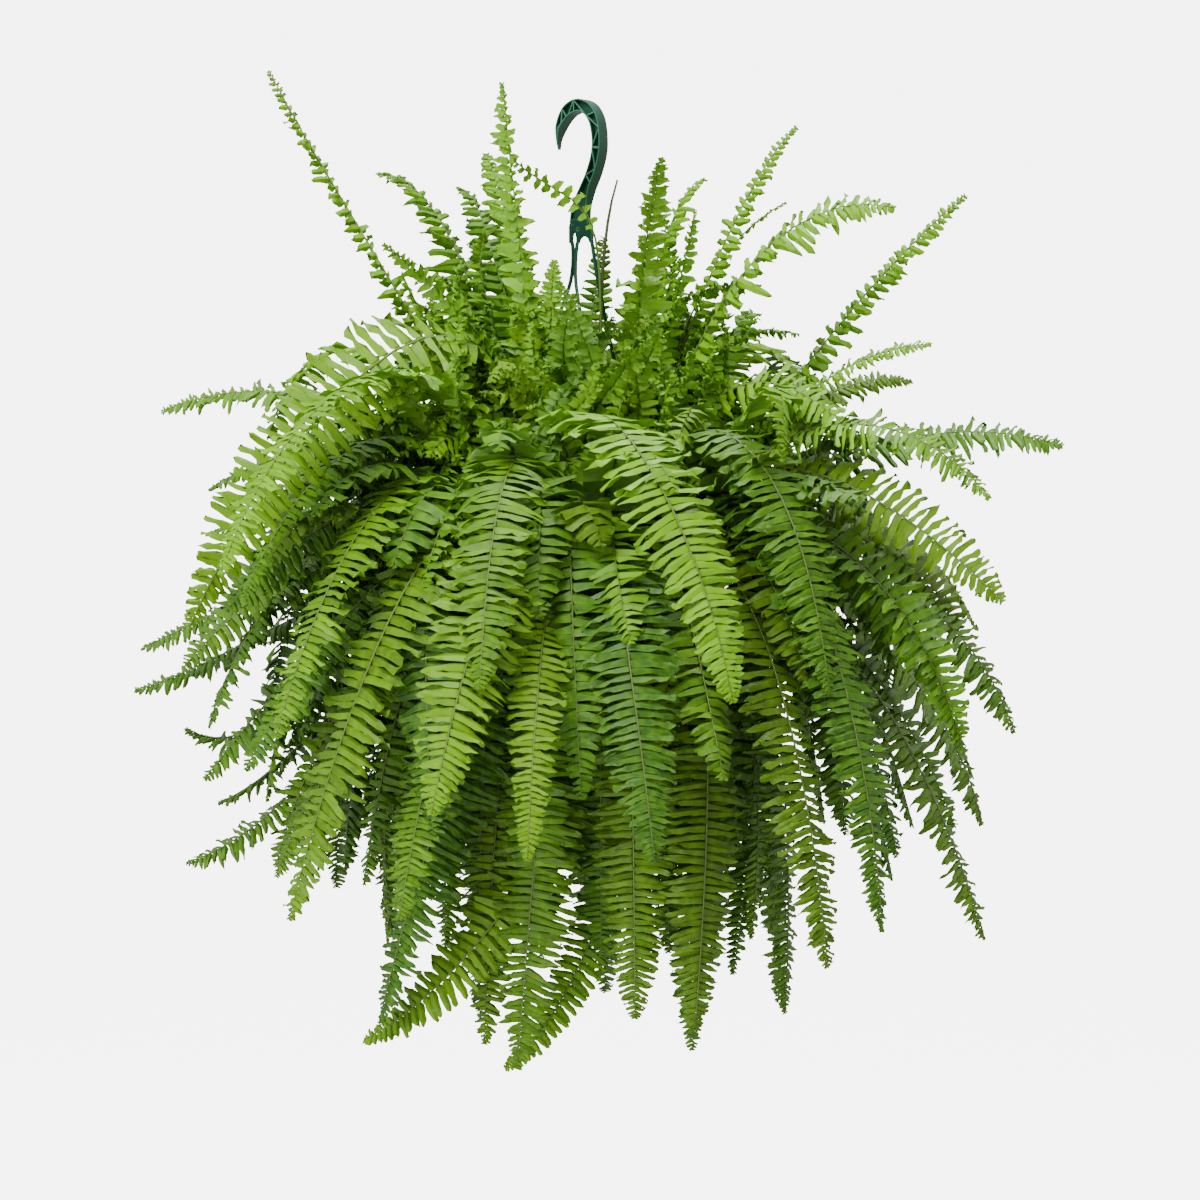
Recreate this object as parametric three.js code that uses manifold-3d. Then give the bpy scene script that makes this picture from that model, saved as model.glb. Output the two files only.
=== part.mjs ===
// A Boston fern in a hanging basket: a plastic nursery pot full of soil, a three-legged hook
// moulded in one piece, and the arching fronds that hide both. Millimetres, +Z up. The origin
// is the inside top of the hook, where the basket hangs, and -Y is the side that is looked at.
import * as THREE from 'three';
import Module from 'manifold-3d';
import { mergeVertices } from 'three/addons/utils/BufferGeometryUtils.js';

const wasm = await Module();
wasm.setup();

// Driving dimensions
const GAP = 0.35;
const POT_RIM_Z = -430;
const POT_RIM_RADIUS = 126;
const POT_BASE_RADIUS = 92;
const POT_HEIGHT = 155;
const POT_WALL = 2;
const POT_LIP = 9;
const POT_SIDES = 28;
const DRAIN_RADIUS = 5;
const DRAIN_COUNT = 6;
const DRAIN_RING = 62;

const SOIL_Z = -447;
const ROOT_DEPTH = 22;
const COLLAR = 4;

const HOOK_TURN = -30;
const HOOK_WIDTH = 13;
const HOOK_TIP_HALF = 1.3;
const HOOK_TOP_HALF = 5;
const HOOK_STEM_HALF = 3.8;
const HOOK_WEB = 3;
const HOOK_FLANGE = 1.3;
const HOOK_STATIONS = 22;
const HOOK_POCKETS = 16;
const POCKET_SHRINK = 0.7;
const HOOK_TOP_SHARE = 0.28;
const HOOK_STEM_SHARE = 0.55;
const TIP_TAPER_TOP = -6;
const TIP_TAPER_END = -31;
const TIP_WIDTH = 3;
const HUB_TOP = -77;
const HUB_SHOULDER = 9;
const HUB_CHAMFER = 3.5;
const HUB_BOTTOM = -100;
const HUB_HALF = 10.5;
const HUB_THICK = 4;
const HUB_FOOT = 3;
const HUB_ARCH = 5;
const HUB_ARCH_STEPS = 4;
const LEG_BEARINGS = [170, -70, 50];
const LEG_HALF = 1.4;
const LEG_SLOT_RADIUS = 130;
const LEG_SINK = 3;
const LEG_DROP = 8;
const LEG_BEND = 14;
const BARB_DEPTH = 4.2;
const BARB_WIDTH = 9.8;
const BARB_HEIGHT = 3;

const RIB_HALF = 1.3;
const RIB_ROOT_HALF = 1.7;
const BLADE_HALF_THICK = 0.7;
const LEAFLET_TIP_HALF_THICK = 0.35;
const STIPE_LENGTH = 95;
const LEAFLET_STEP = 40;
const LEAFLET_DROOP = 0.2;
const LEAFLET_LEAN = 0.66;
const FEWEST_PAIRS = 5;
const MOST_PAIRS = 9;
const HIDDEN_PAIRS = 6;
const END_SHARE = 0.6;
const FOOT_WIDTH = 0.26;
const FOOT_SHARE = 0.3;
const TIP_POWER = 3.2;
const TIP_ROUNDING = 0.8;
const TURN_POWER = 1.3;
const ARCH_SAMPLES = 80;
const ARCH_STEP = 0.004;

const BACK_BEARINGS = [36, 61, 75, 89, 103, 117, 131, 145];
const BACK_ROOT = 98;
const BACK_TIERS = [
  { first: [120, -330], second: [212, -350], tip: [205, -690], half: 33 },
  { first: [110, -275], second: [262, -275], tip: [275, -600], half: 36 },
  { first: [90, -205], second: [310, -195], tip: [345, -480], half: 38 },
];
const BACK_SHIFT = [-14, -28];
const BACK_SEED = 41;
const BACK_TURN_SPREAD = 3;
const BACK_TIP_SPREAD = [8, 40];

// More fronds of the same crowns, each list with one arch: the node that a frond grows from
// and the bearing of its tip. The skirt hangs between the pot and the others, and the crest
// rises behind the axis.
const SKIRT = { first: [120, -350], second: [170, -380], tip: [158, -645], half: 21 };
const SKIRT_CROWNS = [
  ['frond_18', 20], ['frond_19', 3], ['frond_20', -14], ['frond_52', -32], ['frond_51', -50],
  ['frond_50', -67], ['frond_49', -85], ['frond_48', -102], ['frond_47', -118],
  ['frond_32', -133], ['fronds_33', -149], ['frond_43', -166], ['frond_37', 177],
  ['frond_42', 161], ['fronds_back_1', 37], ['fronds_back_2', 55], ['fronds_back_3', 73],
  ['fronds_back_4', 90], ['fronds_back_5', 108], ['fronds_back_6', 126], ['fronds_back_8', 144],
];
const CREST = { first: [88, -165], second: [190, -110], tip: [262, -270], half: 32 };
const CREST_CROWNS = [
  ['fronds_back_1', 38], ['fronds_back_3', 73], ['fronds_back_5', 104], ['fronds_back_7', 134],
];

const LEAF_GREEN = 0x5f9a2c;
const YOUNG_GREEN = 0x8fc23c;
const OLD_GREEN = 0x47722c;
const HANGER_GREEN = 0x17523a;
const POT_GREEN = 0x1d4a35;
const SOIL_BROWN = 0x3a2a20;

// Solids from closed geometries, and back
function solidOf(geometry) {
  const bare = geometry.clone();
  bare.deleteAttribute('normal');
  bare.deleteAttribute('uv');
  const merged = mergeVertices(bare, 1e-4);
  return new wasm.Manifold(new wasm.Mesh({
    numProp: 3,
    vertProperties: Float32Array.from(merged.attributes.position.array),
    triVerts: Uint32Array.from(merged.index.array),
  }));
}

function geometryOf(solid) {
  const mesh = solid.getMesh();
  const geometry = new THREE.BufferGeometry();
  geometry.setAttribute('position', new THREE.BufferAttribute(mesh.vertProperties, 3));
  geometry.setIndex(new THREE.BufferAttribute(mesh.triVerts, 1));
  geometry.computeVertexNormals();
  return geometry;
}

function radians(degrees) {
  return THREE.MathUtils.degToRad(degrees);
}

// A plate from points that carry a normal and a half thickness, and triangles that run
// counterclockwise seen from above: both faces, and a wall along each open edge.
function plate(points, triangles) {
  const positions = [];
  for (const { at, normal, half } of points) {
    positions.push(...at.clone().addScaledVector(normal, half).toArray());
    positions.push(...at.clone().addScaledVector(normal, -half).toArray());
  }
  const index = [];
  const edges = new Map();
  for (const [a, b, c] of triangles) {
    index.push(2 * a, 2 * b, 2 * c);
    index.push(2 * a + 1, 2 * c + 1, 2 * b + 1);
    for (const [from, to] of [[a, b], [b, c], [c, a]]) {
      const back = `${to},${from}`;
      if (edges.has(back)) edges.delete(back);
      else edges.set(`${from},${to}`, [from, to]);
    }
  }
  for (const [from, to] of edges.values()) {
    index.push(2 * from, 2 * from + 1, 2 * to + 1);
    index.push(2 * from, 2 * to + 1, 2 * to);
  }
  const geometry = new THREE.BufferGeometry();
  geometry.setAttribute('position', new THREE.Float32BufferAttribute(positions, 3));
  geometry.setIndex(index);
  geometry.computeVertexNormals();
  return geometry;
}

// Fronds. Each row is one frond: its node, the bearing of its root and of its tip in degrees
// (0 right, -90 towards the viewer, 180 left), the root's distance from the axis, the two
// handles of its arch and its tip as [distance from the axis, height], the half width of its
// blade and the roll of its tip in degrees. Rows with one node grow from one crown.
const FRONDS = [
  ['frond_01', -172, -176, 20, [50, -270], [190, -80], [245, 30], 15, -50],
  ['frond_02', 146, 152, 34, [56, -250], [120, -40], [188, -42], 36, 0],
  ['fronds_03', 128, 136, 24, [44, -240], [90, -70], [152, -52], 26, 0],
  ['fronds_03', 128, 118, 24, [40, -240], [110, -60], [165, -22], 26, 0],
  ['fronds_05', -140, -125, 18, [30, -280], [60, -120], [100, 14], 22, 0],
  ['frond_06', -35, -50, 18, [30, -280], [60, -90], [100, -42], 26, 0],
  ['frond_07', 15, 24, 24, [40, -260], [60, -60], [108, -50], 26, 0],
  ['frond_08', -2, 9, 20, [40, -280], [110, -70], [174, -9], 14, 40],
  ['frond_09', -20, -15, 26, [60, -200], [150, -50], [250, -79], 34, 50],
  ['frond_10', 4, 4, 34, [85, -310], [210, -150], [307, -64], 18, 45],
  ['fronds_11', -12, -14, 60, [84, -290], [190, -185], [279, -184], 16, 35],
  ['fronds_12', 15, 18, 56, [82, -295], [200, -195], [285, -212], 20, 35],
  ['frond_13', -4, -3, 54, [95, -290], [260, -225], [381, -263], 36, 32],
  ['frond_14', -30, -25, 44, [90, -250], [250, -190], [340, -300], 34, 25],
  ['fronds_12', 15, 12, 56, [94, -300], [275, -275], [332, -412], 36, 25],
  ['fronds_11', -12, -12, 60, [98, -330], [290, -320], [345, -485], 38, 25],
  ['frond_17', -34, -30, 58, [92, -290], [260, -270], [332, -490], 38, 0],
  ['frond_18', 22, 20, 84, [110, -310], [280, -350], [350, -545], 34, 20],
  ['frond_19', 2, 2, 92, [112, -330], [280, -390], [325, -570], 36, 22],
  ['frond_20', -20, -20, 92, [110, -335], [250, -370], [331, -640], 32, 15],
  ['frond_21', -38, -38, 74, [100, -310], [250, -320], [300, -565], 34, 0],
  ['frond_22', -46, -48, 46, [88, -235], [282, -220], [322, -612], 36, 0],
  ['frond_23', -60, -57, 58, [90, -270], [260, -260], [322, -632], 40, 0],
  ['frond_24', -94, -70, 30, [60, -190], [260, -150], [306, -440], 44, 0],
  ['frond_25', -54, -51, 36, [70, -200], [230, -170], [290, -440], 36, 0],
  ['frond_26', -84, -80, 58, [90, -295], [255, -265], [298, -552], 36, 0],
  ['frond_27', -90, -109, 44, [76, -268], [232, -228], [318, -517], 42, 0],
  ['frond_28', -108, -104, 40, [70, -242], [212, -188], [290, -430], 38, 0],
  ['frond_29', -112, -133, 50, [85, -260], [240, -230], [312, -604], 44, 0],
  ['frond_30', -97, -97, 72, [95, -315], [240, -310], [292, -551], 22, 0],
  ['frond_31', -138, -135, 48, [80, -240], [220, -210], [310, -472], 38, 0],
  ['frond_32', -126, -129, 70, [100, -300], [215, -300], [276, -510], 34, 0],
  ['fronds_33', -152, -146, 56, [76, -230], [200, -185], [300, -374], 36, 0],
  ['fronds_34', -165, -159, 46, [66, -220], [160, -180], [250, -310], 32, 0],
  ['frond_35', -139, -139, 34, [56, -170], [250, -120], [340, -353], 38, 0],
  ['fronds_34', -165, -158, 46, [84, -270], [240, -300], [307, -476], 34, 0],
  ['frond_37', 178, 172, 88, [112, -330], [240, -540], [323, -495], 28, -18],
  ['frond_38', 182, 179, 74, [104, -290], [250, -430], [357, -459], 28, -22],
  ['frond_39', -173, -172, 66, [96, -300], [240, -370], [348, -422], 28, -22],
  ['fronds_40', 158, 158, 60, [90, -320], [245, -300], [340, -340], 28, -20],
  ['fronds_40', 158, 166, 60, [82, -275], [230, -240], [316, -301], 26, -25],
  ['frond_42', 157, 164, 96, [112, -330], [230, -530], [315, -562], 28, -18],
  ['frond_43', -170, -168, 92, [112, -330], [200, -560], [315, -588], 32, -18],
  ['fronds_33', -152, -152, 56, [96, -330], [210, -460], [262, -590], 30, 0],
  ['frond_45', -176, -171, 42, [78, -260], [190, -250], [266, -294], 26, -25],
  ['frond_46', 185, 178, 30, [66, -260], [215, -185], [335, -236], 30, -30],
  ['frond_47', -116, -118, 88, [108, -320], [220, -370], [282, -600], 32, 0],
  ['frond_48', -96, -128, 98, [120, -330], [205, -400], [236, -692], 34, 0],
  ['frond_49', -84, -106, 106, [122, -340], [190, -380], [198, -722], 34, 0],
  ['frond_50', -77, -79, 100, [115, -330], [205, -340], [220, -680], 32, 0],
  ['frond_51', -55, -68, 94, [115, -320], [230, -330], [230, -690], 34, 0],
  ['frond_52', -34, -44, 100, [120, -330], [215, -350], [215, -690], 30, 0],
  ['fronds_05', -140, -105, 18, [22, -330], [40, -220], [76, -120], 18, 0],
  ['frond_54', -128, -130, 44, [62, -330], [110, -215], [165, -270], 26, 0],
  ['frond_55', -44, -54, 30, [40, -320], [90, -230], [140, -190], 16, 0],
  ['fronds_back_5', 103, 97, 98, [94, -330], [84, -240], [70, -170], 20, 0],
];

function bearingVector(degrees) {
  return new THREE.Vector3(Math.cos(radians(degrees)), Math.sin(radians(degrees)), 0);
}

// The arch is a cubic curve of distance from the axis and height, while the bearing turns
// from the root's to the tip's, slowly at first.
function archPoint(row, t) {
  const [, rootBearing, tipBearing, rootDistance, first, second, tip] = row;
  const s = 1 - t;
  const weights = [s * s * s, 3 * s * s * t, 3 * s * t * t, t * t * t];
  const knots = [[rootDistance, SOIL_Z + COLLAR], first, second, tip];
  const distance = weights.reduce((sum, w, i) => sum + w * knots[i][0], 0);
  const height = weights.reduce((sum, w, i) => sum + w * knots[i][1], 0);
  const bearing = rootBearing + (tipBearing - rootBearing) * t ** TURN_POWER;
  const at = bearingVector(bearing).multiplyScalar(distance);
  at.z = height;
  return { at, bearing };
}

function archByLength(row) {
  const samples = [];
  let length = 0;
  for (let i = 0; i <= ARCH_SAMPLES; i += 1) {
    const point = archPoint(row, i / ARCH_SAMPLES);
    if (i > 0) length += point.at.distanceTo(samples[i - 1].at);
    samples.push({ ...point, length });
  }
  const parameterAt = (wanted) => {
    let i = 1;
    while (i < ARCH_SAMPLES && samples[i].length < wanted) i += 1;
    const before = samples[i - 1];
    const share = (wanted - before.length) / (samples[i].length - before.length);
    return (i - 1 + share) / ARCH_SAMPLES;
  };
  return { length, parameterAt };
}

// The frame of a station: across the blade, along it, and up out of its upper face.
function stationAt(row, t) {
  const { at, bearing } = archPoint(row, t);
  const ahead = archPoint(row, Math.min(t + ARCH_STEP, 1)).at;
  const behind = archPoint(row, Math.max(t - ARCH_STEP, 0)).at;
  const along = ahead.sub(behind).normalize();
  const across = bearingVector(bearing + 90);
  across.addScaledVector(along, -across.dot(along)).normalize();
  across.applyAxisAngle(along, radians(row[8]) * t);
  const up = along.clone().cross(across);
  return { at, across, along, up };
}

// The blade is widest in its middle, a little narrower at its foot, and runs out to a point.
function bladeWidth(share) {
  const foot = FOOT_WIDTH + (1 - FOOT_WIDTH) * Math.min(share / FOOT_SHARE, 1);
  return foot * (1 - share ** TIP_POWER) ** TIP_ROUNDING;
}

// One frond: a stalk with its foot upright in the soil, and a blade cut to its rib into
// leaflets on both sides, each a tooth that leans towards the tip and droops.
function frondGeometry(row) {
  const halfWidth = row[7];
  const arch = archByLength(row);
  const blade = arch.length - STIPE_LENGTH;
  const most = row[9] ?? MOST_PAIRS;
  const pairs = THREE.MathUtils.clamp(Math.round(blade / LEAFLET_STEP), FEWEST_PAIRS, most);
  const steps = pairs + END_SHARE;
  const foot = bearingVector(row[1]).multiplyScalar(row[3]);
  const footFrame = {
    across: bearingVector(row[1] + 90),
    up: bearingVector(row[1]).negate(),
  };
  const stations = [
    { ...footFrame, at: foot.clone().setZ(SOIL_Z - ROOT_DEPTH), rib: RIB_ROOT_HALF },
    { ...footFrame, at: foot.clone().setZ(SOIL_Z + COLLAR), rib: RIB_ROOT_HALF },
  ];
  const middle = stationAt(row, arch.parameterAt(STIPE_LENGTH / 2));
  stations.push({ ...middle, rib: RIB_ROOT_HALF });
  const first = stations.length;
  for (let i = 0; i <= pairs; i += 1) {
    const share = i / steps;
    const station = stationAt(row, arch.parameterAt(STIPE_LENGTH + share * blade));
    stations.push({ ...station, rib: RIB_HALF, share });
  }
  const points = [];
  const triangles = [];
  for (const station of stations) {
    const half = station.share === undefined ? RIB_ROOT_HALF : BLADE_HALF_THICK;
    for (const side of [1, -1]) {
      const at = station.at.clone().addScaledVector(station.across, side * station.rib);
      points.push({ at, normal: station.up, half });
    }
  }
  for (let i = 0; i + 1 < stations.length; i += 1) {
    const [left, right, nextLeft, nextRight] = [2 * i, 2 * i + 1, 2 * i + 2, 2 * i + 3];
    triangles.push([right, nextRight, nextLeft], [right, nextLeft, left]);
    if (i < first) continue;
    const share = (i - first + LEAFLET_LEAN) / steps;
    const reach = halfWidth * bladeWidth((i - first + 0.5) / steps);
    const station = stationAt(row, arch.parameterAt(STIPE_LENGTH + share * blade));
    for (const side of [1, -1]) {
      const at = station.at.clone().addScaledVector(station.across, side * reach);
      at.addScaledVector(station.up, -reach * LEAFLET_DROOP);
      points.push({ at, normal: station.up, half: LEAFLET_TIP_HALF_THICK });
    }
    triangles.push([left, nextLeft, points.length - 2]);
    triangles.push([right, points.length - 1, nextRight]);
  }
  const end = stationAt(row, 1);
  points.push({ at: end.at, normal: end.up, half: LEAFLET_TIP_HALF_THICK });
  const last = 2 * (stations.length - 1);
  triangles.push([last + 1, points.length - 1, last]);
  return plate(points, triangles);
}

// The crowns behind the axis: each bears a low, a middle and a high frond, which part above
// the soil. The draw is seeded, so it is the same each time.
function draws(seed) {
  let state = seed;
  return () => {
    state = (state + 0x6d2b79f5) | 0;
    let t = Math.imul(state ^ (state >>> 15), 1 | state);
    t = (t + Math.imul(t ^ (t >>> 7), 61 | t)) ^ t;
    return ((t ^ (t >>> 14)) >>> 0) / 4294967296;
  };
}

function backRows() {
  const draw = draws(BACK_SEED);
  const vary = (value, spread) => value + (draw() * 2 - 1) * spread;
  const found = [];
  BACK_BEARINGS.forEach((bearing, i) => {
    const shifted = (place) => place.map((value, k) => value + (i % 2) * BACK_SHIFT[k]);
    for (const { first, second, tip, half } of BACK_TIERS) {
      const tipBearing = bearing + vary(0, BACK_TURN_SPREAD);
      const end = tip.map((value, k) => vary(value, BACK_TIP_SPREAD[k]));
      found.push([
        `fronds_back_${i + 1}`, bearing, tipBearing, BACK_ROOT, shifted(first),
        shifted(second), shifted(end), half, 0, HIDDEN_PAIRS,
      ]);
    }
  });
  return found;
}

function rowsFrom(crowns, { first, second, tip, half }, grown) {
  return crowns.map(([node, tipBearing]) => {
    const [, bearing, , root] = grown.find((row) => row[0] === node);
    return [node, bearing, tipBearing, root, first, second, tip, half, 0, HIDDEN_PAIRS];
  });
}

const grownRows = [...FRONDS, ...backRows()];
const rows = [
  ...grownRows,
  ...rowsFrom(SKIRT_CROWNS, SKIRT, grownRows),
  ...rowsFrom(CREST_CROWNS, CREST, grownRows),
];
const nodes = new Map();
for (const row of rows) {
  if (!nodes.has(row[0])) nodes.set(row[0], []);
  nodes.get(row[0]).push(row);
}

function frondColour(name) {
  const number = Number(name.split('_').pop());
  if (name.startsWith('fronds_back')) return OLD_GREEN;
  return number % 3 === 0 ? YOUNG_GREEN : LEAF_GREEN;
}

// Soil: a plug that fills the pot to below its rim, with a square hole for each foot.
function potRadius(z) {
  const share = (POT_RIM_Z - z) / POT_HEIGHT;
  return POT_RIM_RADIUS + (POT_BASE_RADIUS - POT_RIM_RADIUS) * share;
}

function lathe(profile) {
  const points = profile.map(([distance, height]) => new THREE.Vector2(distance, height));
  const geometry = new THREE.LatheGeometry(points, POT_SIDES);
  geometry.rotateX(Math.PI / 2);
  return geometry;
}

function soilGeometry() {
  const floor = POT_RIM_Z - POT_HEIGHT + POT_WALL + GAP;
  const inset = POT_WALL + GAP;
  let soil = solidOf(lathe([
    [0, floor],
    [potRadius(floor) - inset, floor],
    [potRadius(SOIL_Z) - inset, SOIL_Z],
    [0, SOIL_Z],
  ]));
  const hole = 2 * (RIB_ROOT_HALF + GAP);
  const depth = ROOT_DEPTH + 2 * GAP;
  const cut = new Set();
  for (const row of rows) {
    const key = `${row[1]},${row[3]}`;
    if (cut.has(key)) continue;
    cut.add(key);
    const box = new THREE.BoxGeometry(hole, hole, depth * 2);
    box.rotateZ(radians(row[1]));
    const at = bearingVector(row[1]).multiplyScalar(row[3]);
    box.translate(at.x, at.y, SOIL_Z);
    soil = soil.subtract(solidOf(box));
  }
  return geometryOf(soil);
}

// Pot: a thin tapered wall, a flat floor with drain holes and a lip that the legs clip into.
function potGeometry() {
  const base = POT_RIM_Z - POT_HEIGHT;
  const floor = base + POT_WALL;
  let pot = solidOf(lathe([
    [0, base],
    [POT_BASE_RADIUS, base],
    [POT_RIM_RADIUS, POT_RIM_Z - POT_WALL],
    [POT_RIM_RADIUS + POT_LIP, POT_RIM_Z - POT_WALL],
    [POT_RIM_RADIUS + POT_LIP, POT_RIM_Z],
    [POT_RIM_RADIUS - POT_WALL, POT_RIM_Z],
    [potRadius(floor) - POT_WALL, floor],
    [0, floor],
  ]));
  for (let i = 0; i < DRAIN_COUNT; i += 1) {
    const drain = new THREE.CylinderGeometry(DRAIN_RADIUS, DRAIN_RADIUS, POT_WALL * 4, 8);
    drain.rotateX(Math.PI / 2);
    const at = bearingVector((360 * i) / DRAIN_COUNT).multiplyScalar(DRAIN_RING);
    drain.translate(at.x, at.y, base);
    pot = pot.subtract(solidOf(drain));
  }
  for (const bearing of LEG_BEARINGS) {
    const slot = new THREE.BoxGeometry(
      2 * (LEG_HALF + GAP), 4 * (LEG_HALF + GAP), POT_WALL * 4);
    slot.rotateZ(radians(bearing));
    const at = bearingVector(bearing).multiplyScalar(LEG_SLOT_RADIUS);
    slot.translate(at.x, at.y, POT_RIM_Z);
    pot = pot.subtract(solidOf(slot));
  }
  return geometryOf(pot);
}

// The hook's centre line in its own plane, from its tip over the top and down to the hub.
const HOOK_LINE = [
  [-20, -29], [-20, -20], [-17, -9], [-10, 1], [-0.5, 5], [8.5, 2], [14.5, -7], [17, -20],
  [16.5, -33], [12, -48], [5.5, -62], [0.5, -75], [-1, -88],
];

// Half the hook's width along its line: it grows from the tip to the top and then narrows.
function hookHalf(u) {
  const rise = THREE.MathUtils.smoothstep(u, -0.1, HOOK_TOP_SHARE);
  const fall = THREE.MathUtils.smoothstep(u, HOOK_TOP_SHARE, HOOK_STEM_SHARE);
  return HOOK_TIP_HALF + (HOOK_TOP_HALF - HOOK_TIP_HALF) * rise
    - (HOOK_TOP_HALF - HOOK_STEM_HALF) * fall;
}

function hookStations(count) {
  const curve = new THREE.CatmullRomCurve3(
    HOOK_LINE.map(([x, z]) => new THREE.Vector3(x, 0, z)));
  const stations = [];
  for (let i = 0; i <= count; i += 1) {
    const at = curve.getPointAt(i / count);
    const along = curve.getTangentAt(i / count);
    const out = new THREE.Vector3(-along.z, 0, along.x);
    stations.push({ at, out, half: hookHalf(i / count) });
  }
  return stations;
}

function extruded(corners, from, depth) {
  const shape = new THREE.Shape(corners.map(([x, z]) => new THREE.Vector2(x, z)));
  const geometry = new THREE.ExtrudeGeometry(shape, { depth, bevelEnabled: false });
  geometry.rotateX(Math.PI / 2);
  geometry.translate(0, from + depth, 0);
  return solidOf(geometry);
}

// The hook is a bar with a row of three-sided pockets in its near face, which leave a web
// behind them, a flange along each edge and a zigzag of thin ribs between.
function hookSolid() {
  const offset = ({ at, out }, distance) => [at.x + out.x * distance, at.z + out.z * distance];
  const stations = hookStations(HOOK_STATIONS);
  const outer = stations.map((station) => offset(station, station.half));
  const inner = stations.map((station) => offset(station, -station.half)).reverse();
  let hook = extruded([...outer, ...inner], -HOOK_WIDTH / 2, HOOK_WIDTH);
  const ladder = hookStations(HOOK_POCKETS + 3);
  const mouth = 1;
  const depth = (HOOK_WIDTH - HOOK_WEB) / 2 + mouth;
  for (let i = 0; i < HOOK_POCKETS; i += 1) {
    const side = i % 2 === 0 ? 1 : -1;
    const corners = [[1, side], [3, side], [2, -side]].map(([step, sign]) => {
      const station = ladder[i + step];
      return offset(station, sign * (station.half - HOOK_FLANGE));
    });
    const x = corners.reduce((sum, corner) => sum + corner[0], 0) / corners.length;
    const z = corners.reduce((sum, corner) => sum + corner[1], 0) / corners.length;
    const pocket = corners.map((corner) => [
      x + (corner[0] - x) * POCKET_SHRINK, z + (corner[1] - z) * POCKET_SHRINK]);
    hook = hook.subtract(extruded(pocket, -HOOK_WIDTH / 2 - mouth, depth));
  }
  for (const side of [1, -1]) {
    const wedge = [
      [side * (HOOK_WIDTH / 2 + mouth), TIP_TAPER_END],
      [side * (TIP_WIDTH / 2), TIP_TAPER_END],
      [side * (HOOK_WIDTH / 2), TIP_TAPER_TOP],
      [side * (HOOK_WIDTH / 2 + mouth), TIP_TAPER_TOP],
    ];
    const cut = extruded(wedge, HOOK_TOP_HALF, -HOOK_LINE[0][0]);
    hook = hook.subtract(cut.rotate([0, 0, 90]));
  }
  return hook;
}

// The hub: a plate under the hook with two arches between the stubs of the three legs.
function hubSolid() {
  const corners = [
    [-HUB_HALF, HUB_BOTTOM], [-HUB_HALF, HUB_TOP - HUB_SHOULDER],
    [-HUB_HALF + HUB_CHAMFER, HUB_TOP], [HUB_HALF - HUB_CHAMFER, HUB_TOP],
    [HUB_HALF, HUB_TOP - HUB_SHOULDER], [HUB_HALF, HUB_BOTTOM],
  ];
  const radius = (HUB_HALF - 1.5 * HUB_FOOT) / 2;
  for (const side of [1, -1]) {
    const middle = side * (HUB_HALF - HUB_FOOT - radius);
    for (let i = 0; i <= HUB_ARCH_STEPS; i += 1) {
      const turn = (Math.PI * i) / HUB_ARCH_STEPS;
      corners.push([middle + radius * Math.cos(turn), HUB_BOTTOM + HUB_ARCH * Math.sin(turn)]);
    }
  }
  return extruded(corners, -HUB_THICK / 2, HUB_THICK);
}

// A leg: a square bar from the hub to the pot's lip, with a barb below the lip that holds it.
function legSolid(bearing, hubX) {
  const out = bearingVector(bearing);
  const across = bearingVector(bearing + 90);
  const rim = out.clone().multiplyScalar(LEG_SLOT_RADIUS);
  const turn = new THREE.Matrix4().makeRotationZ(radians(HOOK_TURN));
  const barbZ = POT_RIM_Z - POT_WALL - GAP - BARB_HEIGHT / 2;
  const places = [
    new THREE.Vector3(hubX, 0, HUB_BOTTOM + LEG_SINK).applyMatrix4(turn),
    new THREE.Vector3(hubX, 0, HUB_BOTTOM - LEG_DROP).applyMatrix4(turn),
    rim.clone().setZ(POT_RIM_Z + LEG_BEND),
    rim.clone().setZ(barbZ),
  ];
  const points = [];
  const triangles = [];
  for (const at of places) {
    for (const side of [1, -1]) {
      points.push({
        at: at.clone().addScaledVector(across, side * LEG_HALF),
        normal: out.clone().negate(),
        half: LEG_HALF,
      });
    }
  }
  for (let i = 0; i + 1 < places.length; i += 1) {
    const [left, right, nextLeft, nextRight] = [2 * i, 2 * i + 1, 2 * i + 2, 2 * i + 3];
    triangles.push([left, nextLeft, nextRight], [left, nextRight, right]);
  }
  const leg = solidOf(plate(points, triangles));
  const barb = new THREE.BoxGeometry(BARB_DEPTH, BARB_WIDTH, BARB_HEIGHT);
  barb.rotateZ(radians(bearing));
  barb.translate(rim.x, rim.y, barbZ);
  return leg.add(solidOf(barb));
}

function hangerGeometry() {
  const spacing = HUB_HALF - HUB_FOOT / 2;
  let hanger = hookSolid().add(hubSolid()).rotate([0, 0, HOOK_TURN]);
  LEG_BEARINGS.forEach((bearing, i) => {
    hanger = hanger.add(legSolid(bearing, (i - 1) * spacing));
  });
  return geometryOf(hanger);
}

function named(name, geometry, color, roughness) {
  const material = new THREE.MeshStandardMaterial({ color, roughness, metalness: 0 });
  const mesh = new THREE.Mesh(geometry, material);
  mesh.name = name;
  return mesh;
}

const group = new THREE.Group();
group.add(named('pot', potGeometry(), POT_GREEN, 0.5));
group.add(named('soil', soilGeometry(), SOIL_BROWN, 0.95));
group.add(named('hanger', hangerGeometry(), HANGER_GREEN, 0.45));
for (const [name, members] of nodes) {
  let solid = solidOf(frondGeometry(members[0]));
  for (const row of members.slice(1)) solid = solid.add(solidOf(frondGeometry(row)));
  group.add(named(name, geometryOf(solid), frondColour(name), 0.6));
}

export default group;
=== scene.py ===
# A Boston fern in a hanging basket, dressed over its frame: metres, +Z up, -Y towards the viewer.
# The origin is the inside top of the hook.
import math
from collections import namedtuple

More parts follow.
